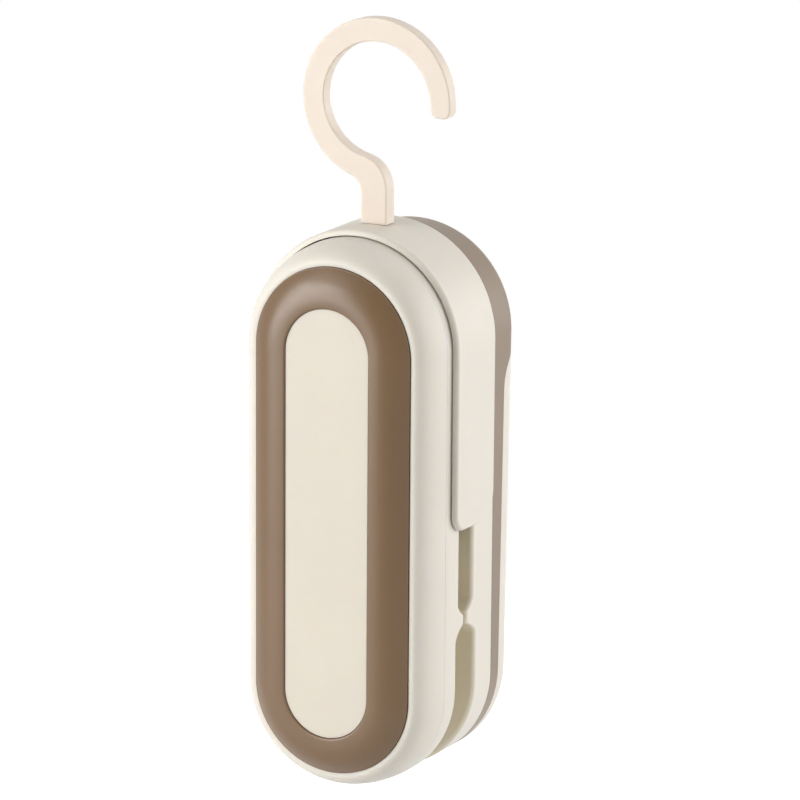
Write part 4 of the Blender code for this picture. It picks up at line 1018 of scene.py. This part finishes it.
def door_space(clearance):
    """Side view of the space behind the band, below an arc, that the door takes up."""
    far = REAR + DOOR_CUT_REACH
    low = -ARC - 2 * CASE
    seam_top = DOOR_FRONT + REAR_SLOPE * DOOR_SHOULDER - clearance
    middle = (seam_top + DOOR_CURVE, DOOR_SHOULDER + clearance)
    points = [(far, low), (DOOR_FRONT + REAR_SLOPE * low - clearance, low)]
    points += arc(middle, DOOR_CURVE, 180, 90, DOOR_CURVE_STEPS)
    points.append((far, middle[1] + DOOR_CURVE))
    return prism(points, -2 * CASE, 2 * CASE, "X")


def along_rails(points):
    """The same (x, depth) outline at each catch on both sides, leaning with the back."""
    pieces = []
    for side in (-1, 1):
        flipped = [(side * x, y) for x, y in points]
        for middle in CATCH_HEIGHTS:
            bar = prism(flipped, middle - CATCH_LENGTH / 2, middle + CATCH_LENGTH / 2, "Z")
            for vertex in bar.vertices:
                vertex.co.y += REAR_SLOPE * (vertex.co.z - ORIGIN.z)
            pieces.append(bar)
    return joined(*pieces)


def door_keepers():
    """Short rails inside the band."""
    rear = DOOR_FRONT - KEEPER_DROP
    front = rear - KEEPER_HEIGHT
    inside = INNER - KEEPER_WIDTH
    outside = INNER + WALL / 2
    return along_rails([(inside, front), (outside, front), (outside, rear), (inside, rear)])


def door_catches():
    """Hooked feet of the door that reach round the rails."""
    outside = INNER + WALL / 2
    lip = INNER - CATCH_LIP
    web = DOOR_FRONT + CATCH_ROOM
    foot = DOOR_FRONT - CATCH_DROP
    far = lip - CATCH_LIP
    tip = INNER - ROOM
    front = foot - CATCH_LIP
    points = [(outside, web + CATCH_LIP), (far, web + CATCH_LIP), (far, front), (tip, front)]
    points += [(tip, foot), (lip, foot), (lip, web), (outside, web)]
    return along_rails(points)


def thumb_grooves():
    """Shallow grooves with round floors across the back of the door, to push it down by."""
    grooves = []
    radius = (GROOVE_DEPTH**2 + GROOVE_WIDTH**2 / 4) / (2 * GROOVE_DEPTH)
    for number in range(GROOVES):
        z = GROOVE_TOP - number * GROOVE_PITCH
        y = REAR + REAR_SLOPE * z - GROOVE_DEPTH + radius
        left = (-GROOVE_HALF_LENGTH, y, z)
        grooves.append(rod(radius, left, (GROOVE_HALF_LENGTH, y, z), GROOVE_STEPS))
    return joined(*grooves)


def screw_tabs():
    """Tabs inside the foot of the band that the base's screws go through."""
    tabs = []
    for x, _, z in map(screw_seat, BASE_SCREWS):
        low = -ARC - math.sqrt(INNER**2 - x**2) - WALL / 2
        tab = (x - TAB_HALF, x + TAB_HALF, TAB_BACK - TAB_THICKNESS, TAB_BACK)
        tabs.append(block(*tab, low, z + TAB_HALF))
    return tabs


def band_tongues():
    """Tongues at the top of the band that reach forward into the base."""
    top = ARC + math.sqrt(INNER**2 - (TONGUE_X + TONGUE_HALF) ** 2)
    low = top - ROOM - TONGUE_HEIGHT
    tongues = []
    for x in (-TONGUE_X, TONGUE_X):
        across = (x - TONGUE_HALF, x + TONGUE_HALF)
        tongues.append(block(*across, BAND_FRONT + CATCH_ROOM, DOOR_FRONT, low, top + WALL / 2))
        tongues.append(block(*across, BAND_FRONT - TONGUE_REACH, DOOR_FRONT, low, top - ROOM))
    return tongues


def make_band():
    """Brown band round the back of the base with its screw tabs, tongues and rails."""
    holes = [screw_hole(x, z, BAND_FRONT, REAR) for x, _, z in map(screw_seat, BASE_SCREWS)]
    band = worked(rear_cup(), "DIFFERENCE", door_space(DOOR_SEAM))
    band = worked(band, "UNION", *screw_tabs(), *band_tongues(), door_keepers())
    band = worked(band, "DIFFERENCE", joined(*holes))
    piece("rear_band", smoothed(band), BAND_BROWN, "rear_frame")


def make_door():
    """Cream battery door with its catches and thumb grooves."""
    door = worked(rear_cup(), "INTERSECT", door_space(0.0))
    door = worked(door, "UNION", door_catches())
    door = worked(door, "DIFFERENCE", thumb_grooves())
    piece("rear_door", smoothed(door), CREAM, "battery_door")


def strap_rim():
    """The collar laid flat: its rim from the left end to the right end, front edge then rear edge.

    Each point is (distance along the strap, depth, inward direction, rim round)."""
    length = COLLAR_ARCH + ARC - COLLAR_END
    leg = length - COLLAR_REAR_CORNER - COLLAR_ARCH
    places = [COLLAR_ARCH * step / ARC_STEPS for step in range(ARC_STEPS + 1)]
    places += [COLLAR_ARCH + leg * step / COLLAR_LEG_STEPS for step in range(1, COLLAR_LEG_STEPS + 1)]
    middle = (COLLAR_FRONT + COLLAR_REAR) / 2
    mean_round = (COLLAR_FRONT_ROUND + COLLAR_REAR_ROUND) / 2
    edges = []
    for edge, inward, corner, rim in (
        (COLLAR_FRONT, 1, COLLAR_FRONT_CORNER, COLLAR_FRONT_ROUND),
        (COLLAR_REAR, -1, COLLAR_REAR_CORNER, COLLAR_REAR_ROUND),
    ):
        half = [(along, edge, 0.0, inward, rim) for along in places]
        for step in range(1, COLLAR_CORNER_STEPS + 1):
            angle = math.pi / 2 * step / COLLAR_CORNER_STEPS
            along = length - corner + corner * math.sin(angle)
            deep = edge + inward * corner - inward * corner * math.cos(angle)
            half.append((along, deep, -math.sin(angle), inward * math.cos(angle), rim))
        half.append((length, middle, -1.0, 0.0, mean_round))
        mirrored = [(-s, y, -a, b, r) for s, y, a, b, r in reversed(half[1:])]
        edges.append(mirrored + half)
    front, rear = edges
    return front + list(reversed(rear[1:-1]))


def over_arch(along, depth, height):
    """A point of the flat strap bent over the top of the casing; height is above its inner face."""
    radius = COLLAR_INNER + height
    if abs(along) <= COLLAR_ARCH:
        angle = along / COLLAR_INNER
        return radius * math.sin(angle), depth, ARC + radius * math.cos(angle)
    return math.copysign(radius, along), depth, ARC - (abs(along) - COLLAR_ARCH)


def make_collar():
    """Cream strap over the top of both jaws, with rounded ends and a full round front rim."""
    rim = strap_rim()
    loops = [[over_arch(s, y, 0.0) for s, y, *_ in rim]]
    for angle in QUARTER_TURN:
        loop = []
        for s, y, in_s, in_y, round_off in rim:
            inset = round_off * (1 - math.cos(angle))
            height = COLLAR_THICKNESS - round_off * (1 - math.sin(angle))
            loop.append(over_arch(s + inset * in_s, y + inset * in_y, height))
        loops.append(loop)
    mesh = worked(skinned(loops), "UNION", collar_snaps(0.0))
    below = (0, HOOK_Y, COLLAR_TOP - PEG_HOLE_BELOW)
    hole = rod(PEG_RADIUS + ROOM, below, (0, HOOK_Y, COLLAR_TOP + PEG_HOLE_ABOVE))
    mesh = worked(mesh, "DIFFERENCE", hole)
    piece("hinge_strap_collar", smoothed(mesh), CREAM, "hinge_collar")


def on_loop(radius, angle):
    """A point round the middle of the hook's loop, at an angle in degrees."""
    turn = math.radians(angle)
    return radius * math.cos(turn), HOOK_LOOP_Z + radius * math.sin(turn)


def stem_blend(x, reach):
    """Middle and turn of the arc from stem to loop whose middle lies at x, a reach from the loop's."""
    drop = math.sqrt(reach**2 - x**2)
    return (x, HOOK_LOOP_Z - drop), math.degrees(math.atan2(drop, -x))


def hook_outline():
    """Front view of the hook, from the foot of the stem up its right side and round the loop."""
    shoulder, shoulder_turn = stem_blend(HOOK_STEM_RIGHT - HOOK_SHOULDER, HOOK_INNER + HOOK_SHOULDER)
    fillet, fillet_turn = stem_blend(-HOOK_STEM_LEFT - HOOK_FILLET, HOOK_OUTER + HOOK_FILLET)
    tip = HOOK_TIP_ANGLE + math.degrees(HOOK_TIP_ROUND / (HOOK_INNER + HOOK_STRIP / 2))
    inner_corner = on_loop(HOOK_INNER + HOOK_TIP_SLIM + HOOK_TIP_ROUND, tip)
    outer_corner = on_loop(HOOK_OUTER - HOOK_TIP_ROUND, tip)
    points = [(HOOK_STEM_RIGHT, HOOK_SEAT)]
    points += arc(shoulder, HOOK_SHOULDER, 0, shoulder_turn, HOOK_SHOULDER_STEPS)
    for step in range(1, HOOK_INSIDE_STEPS + 1):
        angle = 180 + shoulder_turn + (tip - 180 - shoulder_turn) * step / HOOK_INSIDE_STEPS
        slim = max(0.0, 1 - (angle - tip) / HOOK_TIP_REACH) ** 2
        points.append(on_loop(HOOK_INNER + HOOK_TIP_SLIM * slim, angle))
    points += arc(inner_corner, HOOK_TIP_ROUND, 180 + tip, 270 + tip, HOOK_TIP_STEPS)[1:]
    points += arc(outer_corner, HOOK_TIP_ROUND, 270 + tip, 360 + tip, HOOK_TIP_STEPS)
    points += arc((0.0, HOOK_LOOP_Z), HOOK_OUTER, tip, 180 + fillet_turn, HOOK_OUTSIDE_STEPS)[1:]
    points += arc(fillet, HOOK_FILLET, fillet_turn, 0, HOOK_FILLET_STEPS)[1:]
    points.append((-HOOK_STEM_LEFT, HOOK_SEAT))
    return points


def inset_outline(points, inset):
    """An outline drawn in by an inset; the two points at the foot stay on the seat."""
    drawn = []
    count = len(points)
    for index, point in enumerate(points):
        before = Vector(points[index - 1])
        after = Vector(points[(index + 1) % count])
        along = (after - before).normalized()
        inward = Vector((-along.y, along.x))
        if index in (0, count - 1):
            inward = Vector((-math.copysign(1.0, point[0]), 0.0))
        drawn.append(Vector(point) + inward * inset)
    return drawn


def hook_half(z):
    """Half the hook's thickness: even round the loop, and growing down the stem."""
    share = (HOOK_LOOP_Z - z) / (HOOK_LOOP_Z - HOOK_SEAT)
    return HOOK_HALF + HOOK_SWELL * smooth_share(min(1.0, max(0.0, share)))


def make_hook():
    """Flat cream hook with softly rounded edges, and the peg that turns in the collar."""
    points = hook_outline()
    loops = []
    for facing in (-1, 1):
        half = []
        for angle in QUARTER_TURN:
            inset = HOOK_EDGE * (1 - math.sin(angle))
            under = HOOK_EDGE * (1 - math.cos(angle))
            loop = []
            for point in inset_outline(points, inset):
                y = HOOK_Y + facing * (hook_half(point.y) - under)
                loop.append((point.x + HOOK_SHIFT, y, point.y))
            half.append(loop)
        loops += half if facing < 0 else reversed(half)
    foot = Vector((0, HOOK_Y, HOOK_LOW.z))
    up = Vector((0, 0, 1))
    head = rod(PEG_HEAD_RADIUS, foot, foot + up * PEG_HEAD_HEIGHT)
    peg = rod(PEG_RADIUS, foot + up * PEG_HEAD_HEIGHT / 2, (0, HOOK_Y, HOOK_SEAT + PEG_OVERLAP))
    mesh = worked(skinned(loops, flat_cap), "UNION", peg, head)
    piece("hanging_hook", smoothed(mesh), HOOK_CREAM, "hook")


# Screws and springs, grown by Geometry Nodes


def sized_tree(name, sizes):
    """A Geometry Nodes tree with a named input for each size, its function that adds nodes, and
    its inputs."""
    tree = bpy.data.node_groups.new(name, "GeometryNodeTree")
    tree.interface.new_socket("Geometry", in_out="INPUT", socket_type="NodeSocketGeometry")
    for size in sizes:
        tree.interface.new_socket(size, in_out="INPUT", socket_type="NodeSocketFloat")
    tree.interface.new_socket("Material", in_out="INPUT", socket_type="NodeSocketMaterial")
    tree.interface.new_socket("Geometry", in_out="OUTPUT", socket_type="NodeSocketGeometry")
    add = adder(tree)
    return tree, add, add("NodeGroupInput").outputs


def finished_tree(add, given, geometry):
    """Ends a tree: plain geometry with its material."""
    real = add("GeometryNodeRealizeInstances", Geometry=geometry).outputs["Geometry"]
    coated = add("GeometryNodeSetMaterial", Geometry=real, Material=given["Material"])
    add("NodeGroupOutput", Geometry=coated.outputs["Geometry"])


def grown(tree, material, sizes, points=((0.0, 0.0, 0.0),)):
    """A plain mesh, still in millimetres, from a tree with its sizes set."""
    mesh = bpy.data.meshes.new("points")
    mesh.from_pydata(points, [], [])
    holder = draft(mesh)
    modifier = holder.modifiers.new("nodes", "NODES")
    modifier.node_group = tree
    for item in tree.interface.items_tree:
        if item.in_out == "INPUT" and item.name in sizes:
            modifier[item.identifier] = sizes[item.name]
        if item.in_out == "INPUT" and item.name == "Material":
            modifier[item.identifier] = material
    return settled(holder)


def screw_tree():
    """Screws with a crowned head, a cross recess and a wound thread, one at each point, heads to +Y."""
    tree, add, given = sized_tree("cross_head_screws", SCREW_SIZES)

    def reckon(operation, first, second):
        """Output of a Math node."""
        return reckoned(add, operation, first, second)

    def combined(operation, shapes, **whole):
        """Shapes joined with, cut by or cut from each other."""
        inputs = {"Mesh_2": shapes, **whole}
        return add("GeometryNodeMeshBoolean", {"operation": operation}, **inputs).outputs["Mesh"]

    def raised(shape, height):
        """A shape moved up."""
        offset = add("ShaderNodeCombineXYZ", Z=height).outputs["Vector"]
        return add("GeometryNodeTransform", Geometry=shape, Translation=offset).outputs["Geometry"]

    def cylinder(radius, depth):
        """An upright cylinder round the origin."""
        sizes = {"Vertices": SCREW_SIDES, "Radius": radius, "Depth": depth}
        return add("GeometryNodeMeshCylinder", **sizes).outputs["Mesh"]

    head_height = given["Head Height"]
    blank = raised(cylinder(given["Head Radius"], head_height), reckon("MULTIPLY", head_height, 0.5))
    crown_radius = given["Crown Radius"]
    ball = add("GeometryNodeMeshUVSphere", Segments=SCREW_SIDES, Rings=SCREW_SIDES, Radius=crown_radius)
    crown = raised(ball.outputs["Mesh"], reckon("SUBTRACT", head_height, crown_radius))
    head = combined("INTERSECT", [blank, crown])

    straight = reckon("SUBTRACT", given["Length"], given["Tip Length"])
    inside = reckon("MULTIPLY", head_height, SHANK_OVERLAP)
    middle = reckon("MULTIPLY", reckon("SUBTRACT", inside, straight), 0.5)
    shank = raised(cylinder(given["Shank Radius"], reckon("ADD", straight, inside)), middle)
    cone = add(
        "GeometryNodeMeshCone",
        Vertices=SCREW_SIDES,
        Radius_Top=given["Shank Radius"],
        Radius_Bottom=given["Tip Radius"],
        Depth=given["Tip Length"],
    )
    tip = raised(cone.outputs["Mesh"], reckon("MULTIPLY", given["Length"], -1.0))
    solid = combined("UNION", [head, shank, tip])

    depth = reckon("MULTIPLY", given["Recess Depth"], 2.0)
    span = given["Recess Span"]
    width = given["Recess Width"]
    slots = []
    for x, y in ((span, width), (width, span)):
        size = add("ShaderNodeCombineXYZ", X=x, Y=y, Z=depth).outputs["Vector"]
        slots.append(raised(add("GeometryNodeMeshCube", Size=size).outputs["Mesh"], head_height))
    recessed = combined("DIFFERENCE", slots, Mesh_1=solid)

    run = reckon("SUBTRACT", straight, given["Pitch"])
    winding = add(
        "GeometryNodeCurveSpiral",
        Resolution=THREAD_STEPS,
        Rotations=reckon("DIVIDE", run, given["Pitch"]),
        Start_Radius=given["Shank Radius"],
        End_Radius=given["Shank Radius"],
        Height=run,
    )
    thread_depth = given["Thread Depth"]
    ridge = add("GeometryNodeCurvePrimitiveCircle", Resolution=THREAD_SIDES, Radius=thread_depth)
    coil = add(
        "GeometryNodeCurveToMesh",
        Curve=winding.outputs["Curve"],
        Profile_Curve=ridge.outputs["Curve"],
        Fill_Caps=True,
    )
    thread = raised(coil.outputs["Mesh"], reckon("MULTIPLY", straight, -1.0))
    screw = add("GeometryNodeJoinGeometry", Geometry=[recessed, thread])
    placed = add(
        "GeometryNodeInstanceOnPoints",
        Points=given["Geometry"],
        Instance=screw.outputs["Geometry"],
        Rotation=(-math.pi / 2, 0.0, 0.0),
    )
    finished_tree(add, given, placed.outputs["Instances"])
    return tree


def make_screws():
    """The screws of each jaw, from one tree."""
    tree = screw_tree()
    for name, nodes in (("lever_cross_screws", LEVER_SCREWS), ("base_cross_screws", BASE_SCREWS)):
        mesh = grown(tree, STEEL, SCREW_SIZES, [screw_seat(node) for node in nodes])
        mesh.transform(TO_FRAME)
        piece(name, smoothed(mesh), STEEL, *nodes)


def spring_tree():
    """A wound spring that stands along Z, with its end turns closed."""
    tree, add, given = sized_tree(
        "wound_spring", ("Turns", "Start Radius", "End Radius", "Height", "Wire Radius")
    )
    coil = add(
        "GeometryNodeCurveSpiral",
        Resolution=SPRING_STEPS,
        Rotations=given["Turns"],
        Start_Radius=given["Start Radius"],
        End_Radius=given["End Radius"],
        Height=given["Height"],
    )
    share = add("GeometryNodeSplineParameter").outputs["Factor"]
    smooth = {"interpolation_type": "SMOOTHSTEP"}
    lift = add("ShaderNodeMapRange", smooth, Value=share, To_Max=given["Height"]).outputs["Result"]
    spot = add("ShaderNodeSeparateXYZ", Vector=add("GeometryNodeInputPosition").outputs["Position"])
    closed = add("ShaderNodeCombineXYZ", X=spot.outputs["X"], Y=spot.outputs["Y"], Z=lift)
    path = add(
        "GeometryNodeSetPosition", Geometry=coil.outputs["Curve"], Position=closed.outputs["Vector"]
    )
    wire_radius = given["Wire Radius"]
    section = add("GeometryNodeCurvePrimitiveCircle", Resolution=SPRING_SIDES, Radius=wire_radius)
    wire = add(
        "GeometryNodeCurveToMesh",
        Curve=path.outputs["Geometry"],
        Profile_Curve=section.outputs["Curve"],
        Fill_Caps=True,
    )
    finished_tree(add, given, wire.outputs["Mesh"])
    return tree


def wound(tree, turns, start, end, space, wire):
    """A spring that stands along Z and fills a space, from one radius at its foot to one at its top."""
    sizes = {
        "Turns": turns,
        "Start Radius": start,
        "End Radius": end,
        "Height": space - wire,
        "Wire Radius": wire / 2,
    }
    return grown(tree, STEEL, sizes)


def make_return_spring(tree):
    """The spring between the jaws, which the lever squeezes."""
    length = SPRING_HIGH.y - SPRING_LOW.y
    radius = SPRING_HIGH.x - SPRING_WIRE / 2
    mesh = wound(tree, SPRING_TURNS, radius, radius, length, SPRING_WIRE)
    start = Matrix.Translation((0.0, SPRING_LOW.y + SPRING_WIRE / 2, SPRING_Z))
    mesh.transform(TO_FRAME @ start @ Matrix.Rotation(-math.pi / 2, 4, "X"))
    made = piece("lever_return_spring", smoothed(mesh), STEEL, "return_spring")
    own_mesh(made)


def make_contact_springs(tree):
    """A tapered spring at one end of each cell."""
    nodes = ("contact_spring_1", "contact_spring_2")
    contacts = []
    for node, plate in zip(nodes, ("contact_bridge", "terminal_negative")):
        low, high = measured(node)
        radius = (high.x - low.x) / 2 - CONTACT_WIRE / 2
        mesh = wound(tree, CONTACT_TURNS, radius, CONTACT_TOP, high.z - low.z, CONTACT_WIRE)
        from_above = measured(plate)[0].z > low.z
        turn = Matrix.Rotation(math.pi if from_above else 0.0, 4, "X")
        foot = high.z - CONTACT_WIRE / 2 if from_above else low.z + CONTACT_WIRE / 2
        middle = (low + high) / 2
        mesh.transform(TO_FRAME @ Matrix.Translation((middle.x, middle.y, foot)) @ turn)
        contacts.append(mesh)
    piece("cell_contact_springs", smoothed(joined(*contacts)), STEEL, *nodes)


def make_springs():
    """Return spring between the jaws and contact springs at the cells, from one tree."""
    tree = spring_tree()
    make_return_spring(tree)
    make_contact_springs(tree)


# Cells, and small parts with their edges rounded


def cell_profile(radius, length):
    """Half section of a cell from its flat end to its nub: radius, height, and 1 where it is bare."""
    shoulder = length - CELL_NUB_LENGTH
    fold = radius - CELL_FOLD
    edge = radius - CELL_ROLL
    steel = shoulder - CELL_ROLL / 2
    flat_end = [(0.0, CELL_ROLL / 2), (fold, CELL_ROLL / 2)]
    jacket = [(fold, 0.0)]
    jacket += arc((edge, CELL_ROLL), CELL_ROLL, -90, 0)
    jacket += arc((edge, shoulder - CELL_ROLL), CELL_ROLL, 0, 90)
    jacket.append((fold, shoulder))
    nub_end = [(fold, steel), (CELL_NUB, steel)]
    nub_end += arc((CELL_NUB - ROOM, length - ROOM), ROOM, 0, 90)
    nub_end.append((0.0, length))
    return [(*spot, bare) for part, bare in ((flat_end, 1), (jacket, 0), (nub_end, 1)) for spot in part]


def make_cells():
    """Two cells: a jacket rolled over both ends, bare steel below it, and a nub at one end."""
    for node, name, facing in (("battery_cell_1", "left_cell", -1), ("battery_cell_2", "right_cell", 1)):
        low, high = measured(node)
        middle = (low + high) / 2
        bm = bmesh.new()
        layer = bm.verts.layers.float.new(BARE)
        rings = []
        for reach, along, bare in cell_profile((high.x - low.x) / 2, high.z - low.z):
            z = low.z + along if facing > 0 else high.z - along
            ring = []
            for step in range(TURN_STEPS):
                turn = 2 * math.pi * step / TURN_STEPS
                x = middle.x + reach * math.cos(turn)
                vertex = bm.verts.new(place(x, middle.y + reach * math.sin(turn), z))
                vertex[layer] = bare
                ring.append(vertex)
            rings.append(ring)
        bridge(bm, rings)
        bmesh.ops.remove_doubles(bm, verts=bm.verts, dist=MERGE)
        piece(name, smoothed(mesh_of(bm)), CELL_JACKET, node)


def copied(node):
    """An edit mesh of a node as the frame has it, with its loose triangles joined."""
    bm = bmesh.new()
    bm.from_mesh(frame["nodes"][node].data)
    bmesh.ops.remove_doubles(bm, verts=bm.verts, dist=MERGE)
    return bm


def softened(name, node, material, width):
    """A small part as the frame has it, with its edges rounded to a width."""
    bm = copied(node)
    bmesh.ops.dissolve_limit(bm, angle_limit=FLAT, verts=bm.verts, edges=bm.edges)
    body = draft(mesh_of(bm))
    bevel = body.modifiers.new("edges", "BEVEL")
    bevel.limit_method = "ANGLE"
    bevel.angle_limit = SHARP
    bevel.width = width * MM
    bevel.segments = EDGE_SEGMENTS
    piece(name, smoothed(settled(body)), material, node)


def sleeved(name, node, material):
    """A lead wire as the frame has it, rounded by subdivision."""
    body = draft(mesh_of(copied(node)))
    rounding = body.modifiers.new("rounding", "SUBSURF")
    rounding.levels = LEAD_LEVELS
    rounding.render_levels = LEAD_LEVELS
    piece(name, smoothed(settled(body)), material, node)


def make_small_parts():
    """Pad, heating strip, switch, hinge pin, contacts and leads."""
    softened("silicone_pressing_pad", "pressure_pad", SILICONE, width=0.2)
    softened("heater_board", "heater_holder", BOARD, width=0.08)
    softened("heating_ribbon", "heating_strip", STEEL, width=0.03)
    softened("non_stick_cover", "cover_strip", CLOTH, width=0.04)
    softened("steel_hinge_pin", "hinge_pin", STEEL, width=0.25)
    softened("peg_clip", "hook_retainer", STEEL, width=0.06)
    softened("switch_housing", "switch_body", BLACK_PLASTIC, width=0.2)
    softened("switch_plunger", "switch_button", HOOK_CREAM, width=0.15)
    softened("cell_tray", "battery_tray", BLACK_PLASTIC, width=0.2)
    softened("bridge_contact", "contact_bridge", PLATED, width=0.08)
    softened("positive_contact", "terminal_positive", PLATED, width=0.08)
    softened("negative_contact", "terminal_negative", PLATED, width=0.08)
    sleeved("red_positive_lead", "lead_positive", RED_COVER)
    sleeved("black_negative_lead", "lead_negative", BLACK_COVER)
    sleeved("red_switched_lead", "lead_switched", RED_COVER)


make_lever_shell()
make_lever_plate()
make_ring()
make_panel()
make_base()
make_band()
make_door()
make_collar()
make_hook()
make_screws()
make_springs()
make_cells()
make_small_parts()


# Light, floor and camera


def seen_rays(add):
    """1 for rays from the camera, from reflections and through clear things, and 0 for other light."""
    path = add("ShaderNodeLightPath").outputs
    seen = reckoned(add, "MAXIMUM", path["Is Camera Ray"], path["Is Glossy Ray"])
    return reckoned(add, "MAXIMUM", seen, path["Is Transmission Ray"])


def make_world():
    """A white surround for the camera and for reflections, and a faint even light for all else."""
    world = bpy.data.worlds.new("studio")
    bpy.context.scene.world = world
    world.use_nodes = True
    add = adder(world.node_tree)
    level = add("ShaderNodeMapRange", Value=seen_rays(add), To_Min=AMBIENT, To_Max=1.0)
    background = world.node_tree.nodes["Background"]
    background.inputs["Color"].default_value = (1.0, 1.0, 1.0, 1.0)
    world.node_tree.links.new(level.outputs["Result"], background.inputs["Strength"])


def make_floor():
    """A pale floor well below the hanging sealer; it looks white and still takes a shadow."""
    bm = bmesh.new()
    bmesh.ops.create_grid(bm, x_segments=1, y_segments=1, size=FLOOR_SIZE / 2)
    mesh = mesh_of(bm)
    floor = linked("floor", mesh)
    floor.location = (0.0, 0.0, CAD_BOX[0].z - FLOOR_DROP)
    finish = Finish("pale_floor")
    finish.fix("Base Color", (FLOOR_GREY, FLOOR_GREY, FLOOR_GREY, 1.0))
    finish.fix("Roughness", FLOOR_ROUGHNESS)
    finish.fix("Emission Color", (1.0, 1.0, 1.0, 1.0))
    add = finish.add
    away = add("ShaderNodeVectorMath", {"operation": "LENGTH"}, Vector=finish.spot).outputs["Value"]
    near, far = FLOOR_FADE
    glow = add("ShaderNodeMapRange", Value=away, From_Min=near, From_Max=far, To_Min=FLOOR_LIFT)
    lift = reckoned(add, "MULTIPLY", seen_rays(add), glow.outputs["Result"])
    finish.link(lift, "Emission Strength")
    mesh.materials.append(finish.material)


def make_lights():
    """Soft boxes that all look at the middle of the sealer."""
    target = (CAD_BOX[0] + CAD_BOX[1]) / 2
    for name, offset, power in LIGHTS:
        light = bpy.data.lights.new(name, "AREA")
        light.shape = "SQUARE"
        light.size = SOFT_BOX
        light.energy = power
        lamp = linked(name, light)
        lamp.location = target + Vector(offset)
        lamp.rotation_euler = (-Vector(offset)).to_track_quat("-Z", "Y").to_euler()


def make_camera():
    """The photograph's viewpoint: from the front, a little right and above, with a long lens."""
    data = bpy.data.cameras.new("camera")
    data.lens = CAMERA_LENS
    data.sensor_width = CAMERA_SENSOR
    camera = linked("camera", data)
    turn = Matrix((CAMERA_RIGHT, CAMERA_UP, CAMERA_RIGHT.cross(CAMERA_UP))).transposed()
    camera.matrix_world = Matrix.Translation(CAMERA_PLACE) @ turn.to_4x4()
    bpy.context.scene.camera = camera


make_world()
make_floor()
make_lights()
make_camera()
bpy.context.scene.view_settings.view_transform = "Standard"
